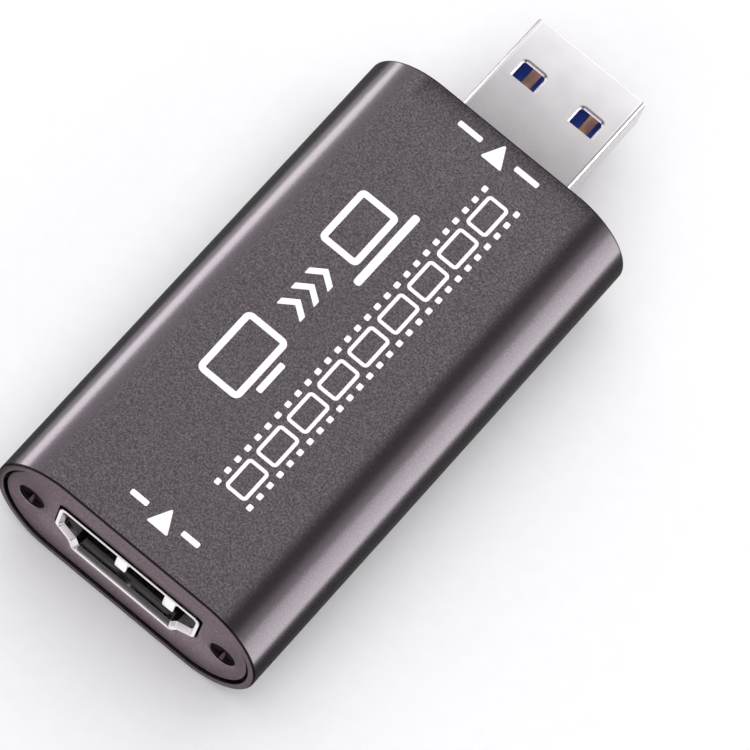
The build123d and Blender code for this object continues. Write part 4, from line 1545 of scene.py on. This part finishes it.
@dataclass
class Studio:
    """A pale floor, soft light all round and a camera at the photograph's angle."""

    azimuth: float = 16.0
    elevation: float = 65.5
    roll: float = 24.8
    distance_mm: float = 700.0
    focal_px: float = 8203.0
    frame_px: float = 750.0
    shift_px: Pair = (-14.0, 55.5)
    sensor_mm: float = 36.0
    clip_m: Pair = (0.05, 10.0)
    floor_mm: float = 1400.0
    floor_corner_mm: float = 60.0
    floor_corner_steps: int = 12
    floor_sheet_mm: float = 3.0
    # Light by its angle about the stick's length, in degrees from straight up towards the right
    across_levels: tuple[Pair, ...] = (
        (-180, 1.2), (20, 1.2), (33, 0.25), (50, 0.25), (60, 1.1), (72, 1.4), (180, 1.2),
    )
    # Light by its lean along the length, from the input end's side to the plug's side
    along_levels: tuple[Pair, ...] = (
        (-1.0, 1.8), (-0.77, 1.8), (-0.71, 0.08), (-0.28, 0.08),
        (0.0, 1.0), (0.6, 1.0), (0.75, 1.5), (1.0, 1.5),
    )
    # How far the light by lean holds, by the angle about the length; elsewhere it counts as one
    lean_shares: tuple[Pair, ...] = (
        (-180, 0), (-75, 0), (-60, 1), (40, 1), (52, 0), (66, 0), (76, 1), (100, 1), (112, 0), (180, 0),
    )
    # Bright cards beside the flanks, over the plug and in front, black ones low on both sides, and a
    # wide soft panel overhead
    cards: tuple[Card, ...] = (
        Card("left_card", ((-53, -30, 1), (-53, 56, 1), (-102, 66, 17.5), (-102, -30, 17.5)), (6.2, 6.2)),
        Card("right_card", ((32, -30, 1), (32, 90, 1), (76, 90, 32), (76, -30, 32)), (4.6, 3.0)),
        Card("plug_card", ((-15, 23.5, 20), (12, 23.5, 20), (12, 45, 20), (-15, 45, 20)), (0.3, 2.0)),
        Card("front_card", ((-10, -33.4, 0.3), (10, -33.4, 0.3), (10, -36.6, 0.3), (-10, -36.6, 0.3)),
             (1.3, 1.3)),
        *(Card("black_card", ((14.3 * side, -45, 0.3), (14.3 * side, 50, 0.3), (31 * side, 50, 0.3),
                              (31 * side, -45, 0.3)), (0.12, 0.12)) for side in (-1, 1)),
        Card("softbox", ((-300, -300, 400), (300, -300, 400), (300, 300, 400), (-300, 300, 400)), (1.5, 1.5),
             mirrored=False),
    )

    def camera(self) -> None:
        """Make the camera. Its picture is moved by a step aside, so it needs no lens shift."""
        azimuth, elevation, roll = map(math.radians, (self.azimuth, self.elevation, self.roll))
        back = Vector((math.sin(azimuth) * math.cos(elevation), -math.cos(azimuth) * math.cos(elevation),
                       math.sin(elevation)))
        level = Vector((0, 0, 1)).cross(back).normalized()
        upright = back.cross(level)
        right = math.cos(roll) * level + math.sin(roll) * upright
        up = math.cos(roll) * upright - math.sin(roll) * level
        data = bpy.data.cameras.new("camera")
        data.sensor_width = self.sensor_mm
        data.lens = self.focal_px * self.sensor_mm / self.frame_px
        data.clip_start, data.clip_end = self.clip_m
        made = bpy.data.objects.new("camera", data)
        bpy.context.scene.collection.objects.link(made)
        low, high = node_box("sleeve")
        target = Vector((0, 0, (low.z + high.z) / 2))
        aside = -(self.shift_px[0] * right + self.shift_px[1] * up) * self.distance_mm / self.focal_px
        place = Matrix.Translation((target + back * self.distance_mm + aside) * MM)
        made.matrix_world = place @ Matrix((right, up, back)).transposed().to_4x4()
        bpy.context.scene.camera = made

    def floor(self) -> None:
        """Make the floor as a thin sheet whose top is at the resting face."""
        solid = Solid()
        outline = rounded(box_corners(self.floor_mm, self.floor_mm), self.floor_corner_mm,
                          self.floor_corner_steps)
        solid.bar([solid.points((p.x, p.y, z) for p in outline) for z in (-self.floor_sheet_mm, 0.0)])
        made = solid.finished("floor", FLOOR_FINISH.material())

    def light(self) -> None:
        """Make the soft light: bands along the stick, darker low in front."""
        world = bpy.data.worlds.new("studio")
        bpy.context.scene.world = world
        world.use_nodes = True
        tree = world.node_tree
        background = next(node for node in tree.nodes if node.type == "BACKGROUND")
        direction = add_node(tree, "ShaderNodeTexCoord").outputs["Generated"]
        parts = add_node(tree, "ShaderNodeSeparateXYZ", {0: direction})
        angle = add_node(tree, "ShaderNodeMath", {0: parts.outputs["X"], 1: parts.outputs["Z"]},
                         operation="ARCTAN2")
        degrees = add_node(tree, "ShaderNodeMath", {0: angle.outputs[0]}, operation="DEGREES")
        across, across_top = self.levels(tree, degrees.outputs[0], self.across_levels)
        along, along_top = self.levels(tree, parts.outputs["Y"], self.along_levels)
        share, _ = self.levels(tree, degrees.outputs[0], self.lean_shares)
        held = add_node(tree, "ShaderNodeMix", {"Factor": share, 6: grey(1 / along_top), 7: along},
                        data_type="RGBA")
        both = add_node(tree, "ShaderNodeVectorMath", {0: across, 1: held.outputs[2]}, operation="MULTIPLY")
        tree.links.new(both.outputs[0], background.inputs["Color"])
        background.inputs["Strength"].default_value = across_top * along_top

    def levels(self, tree: Tree, value: Socket, stops: Sequence[Pair]) -> tuple[Socket, float]:
        """Turn a value into a light level.

        Args:
            tree: The world's node tree.
            value: The value.
            stops: Pairs of a value and its level.

        Returns:
            The level as a share of the highest one, and that highest level.
        """
        first, last = stops[0][0], stops[-1][0]
        top = max(level for _, level in stops)
        share = add_node(tree, "ShaderNodeMapRange", {"Value": value, 1: first, 2: last})
        ramp = add_node(tree, "ShaderNodeValToRGB", {"Fac": share.outputs[0]}, stops=[
            ((place - first) / (last - first), grey(level / top)) for place, level in stops])
        return ramp.outputs["Color"], top

    def build(self) -> None:
        """Make camera, floor, light and cards, and keep colours as they are."""
        self.camera()
        self.floor()
        self.light()
        for card in self.cards:
            card.build()
        bpy.context.scene.view_settings.view_transform = "Standard"


def dress_nodes() -> None:
    """Give every CAD node its finish; those that a piece replaces stay hidden."""
    for part in frame["record"]["subparts"]:
        node = frame["nodes"][part["node"]]
        node.data.materials.clear()
        node.data.materials.append(SLOT_FINISHES[part["material_slot"]].material())


def main() -> None:
    """Build the stick's pieces in order and report each of them."""
    logging.basicConfig(level=logging.INFO, format="%(message)s")
    dress_nodes()
    made = Sleeve().build()
    for end in End:
        made.append(EndPlate(end).build())
        made.append(CrossScrews(end).build())
    made += InputSocket().build()
    made += OutputPlug().build()
    made.append(PrintedMarks().build())
    for piece in made:
        LOG.info("%s: %d vertices, %d faces", piece.name, len(piece.data.vertices), len(piece.data.polygons))
    Studio().build()


if __name__ == "__main__":
    main()
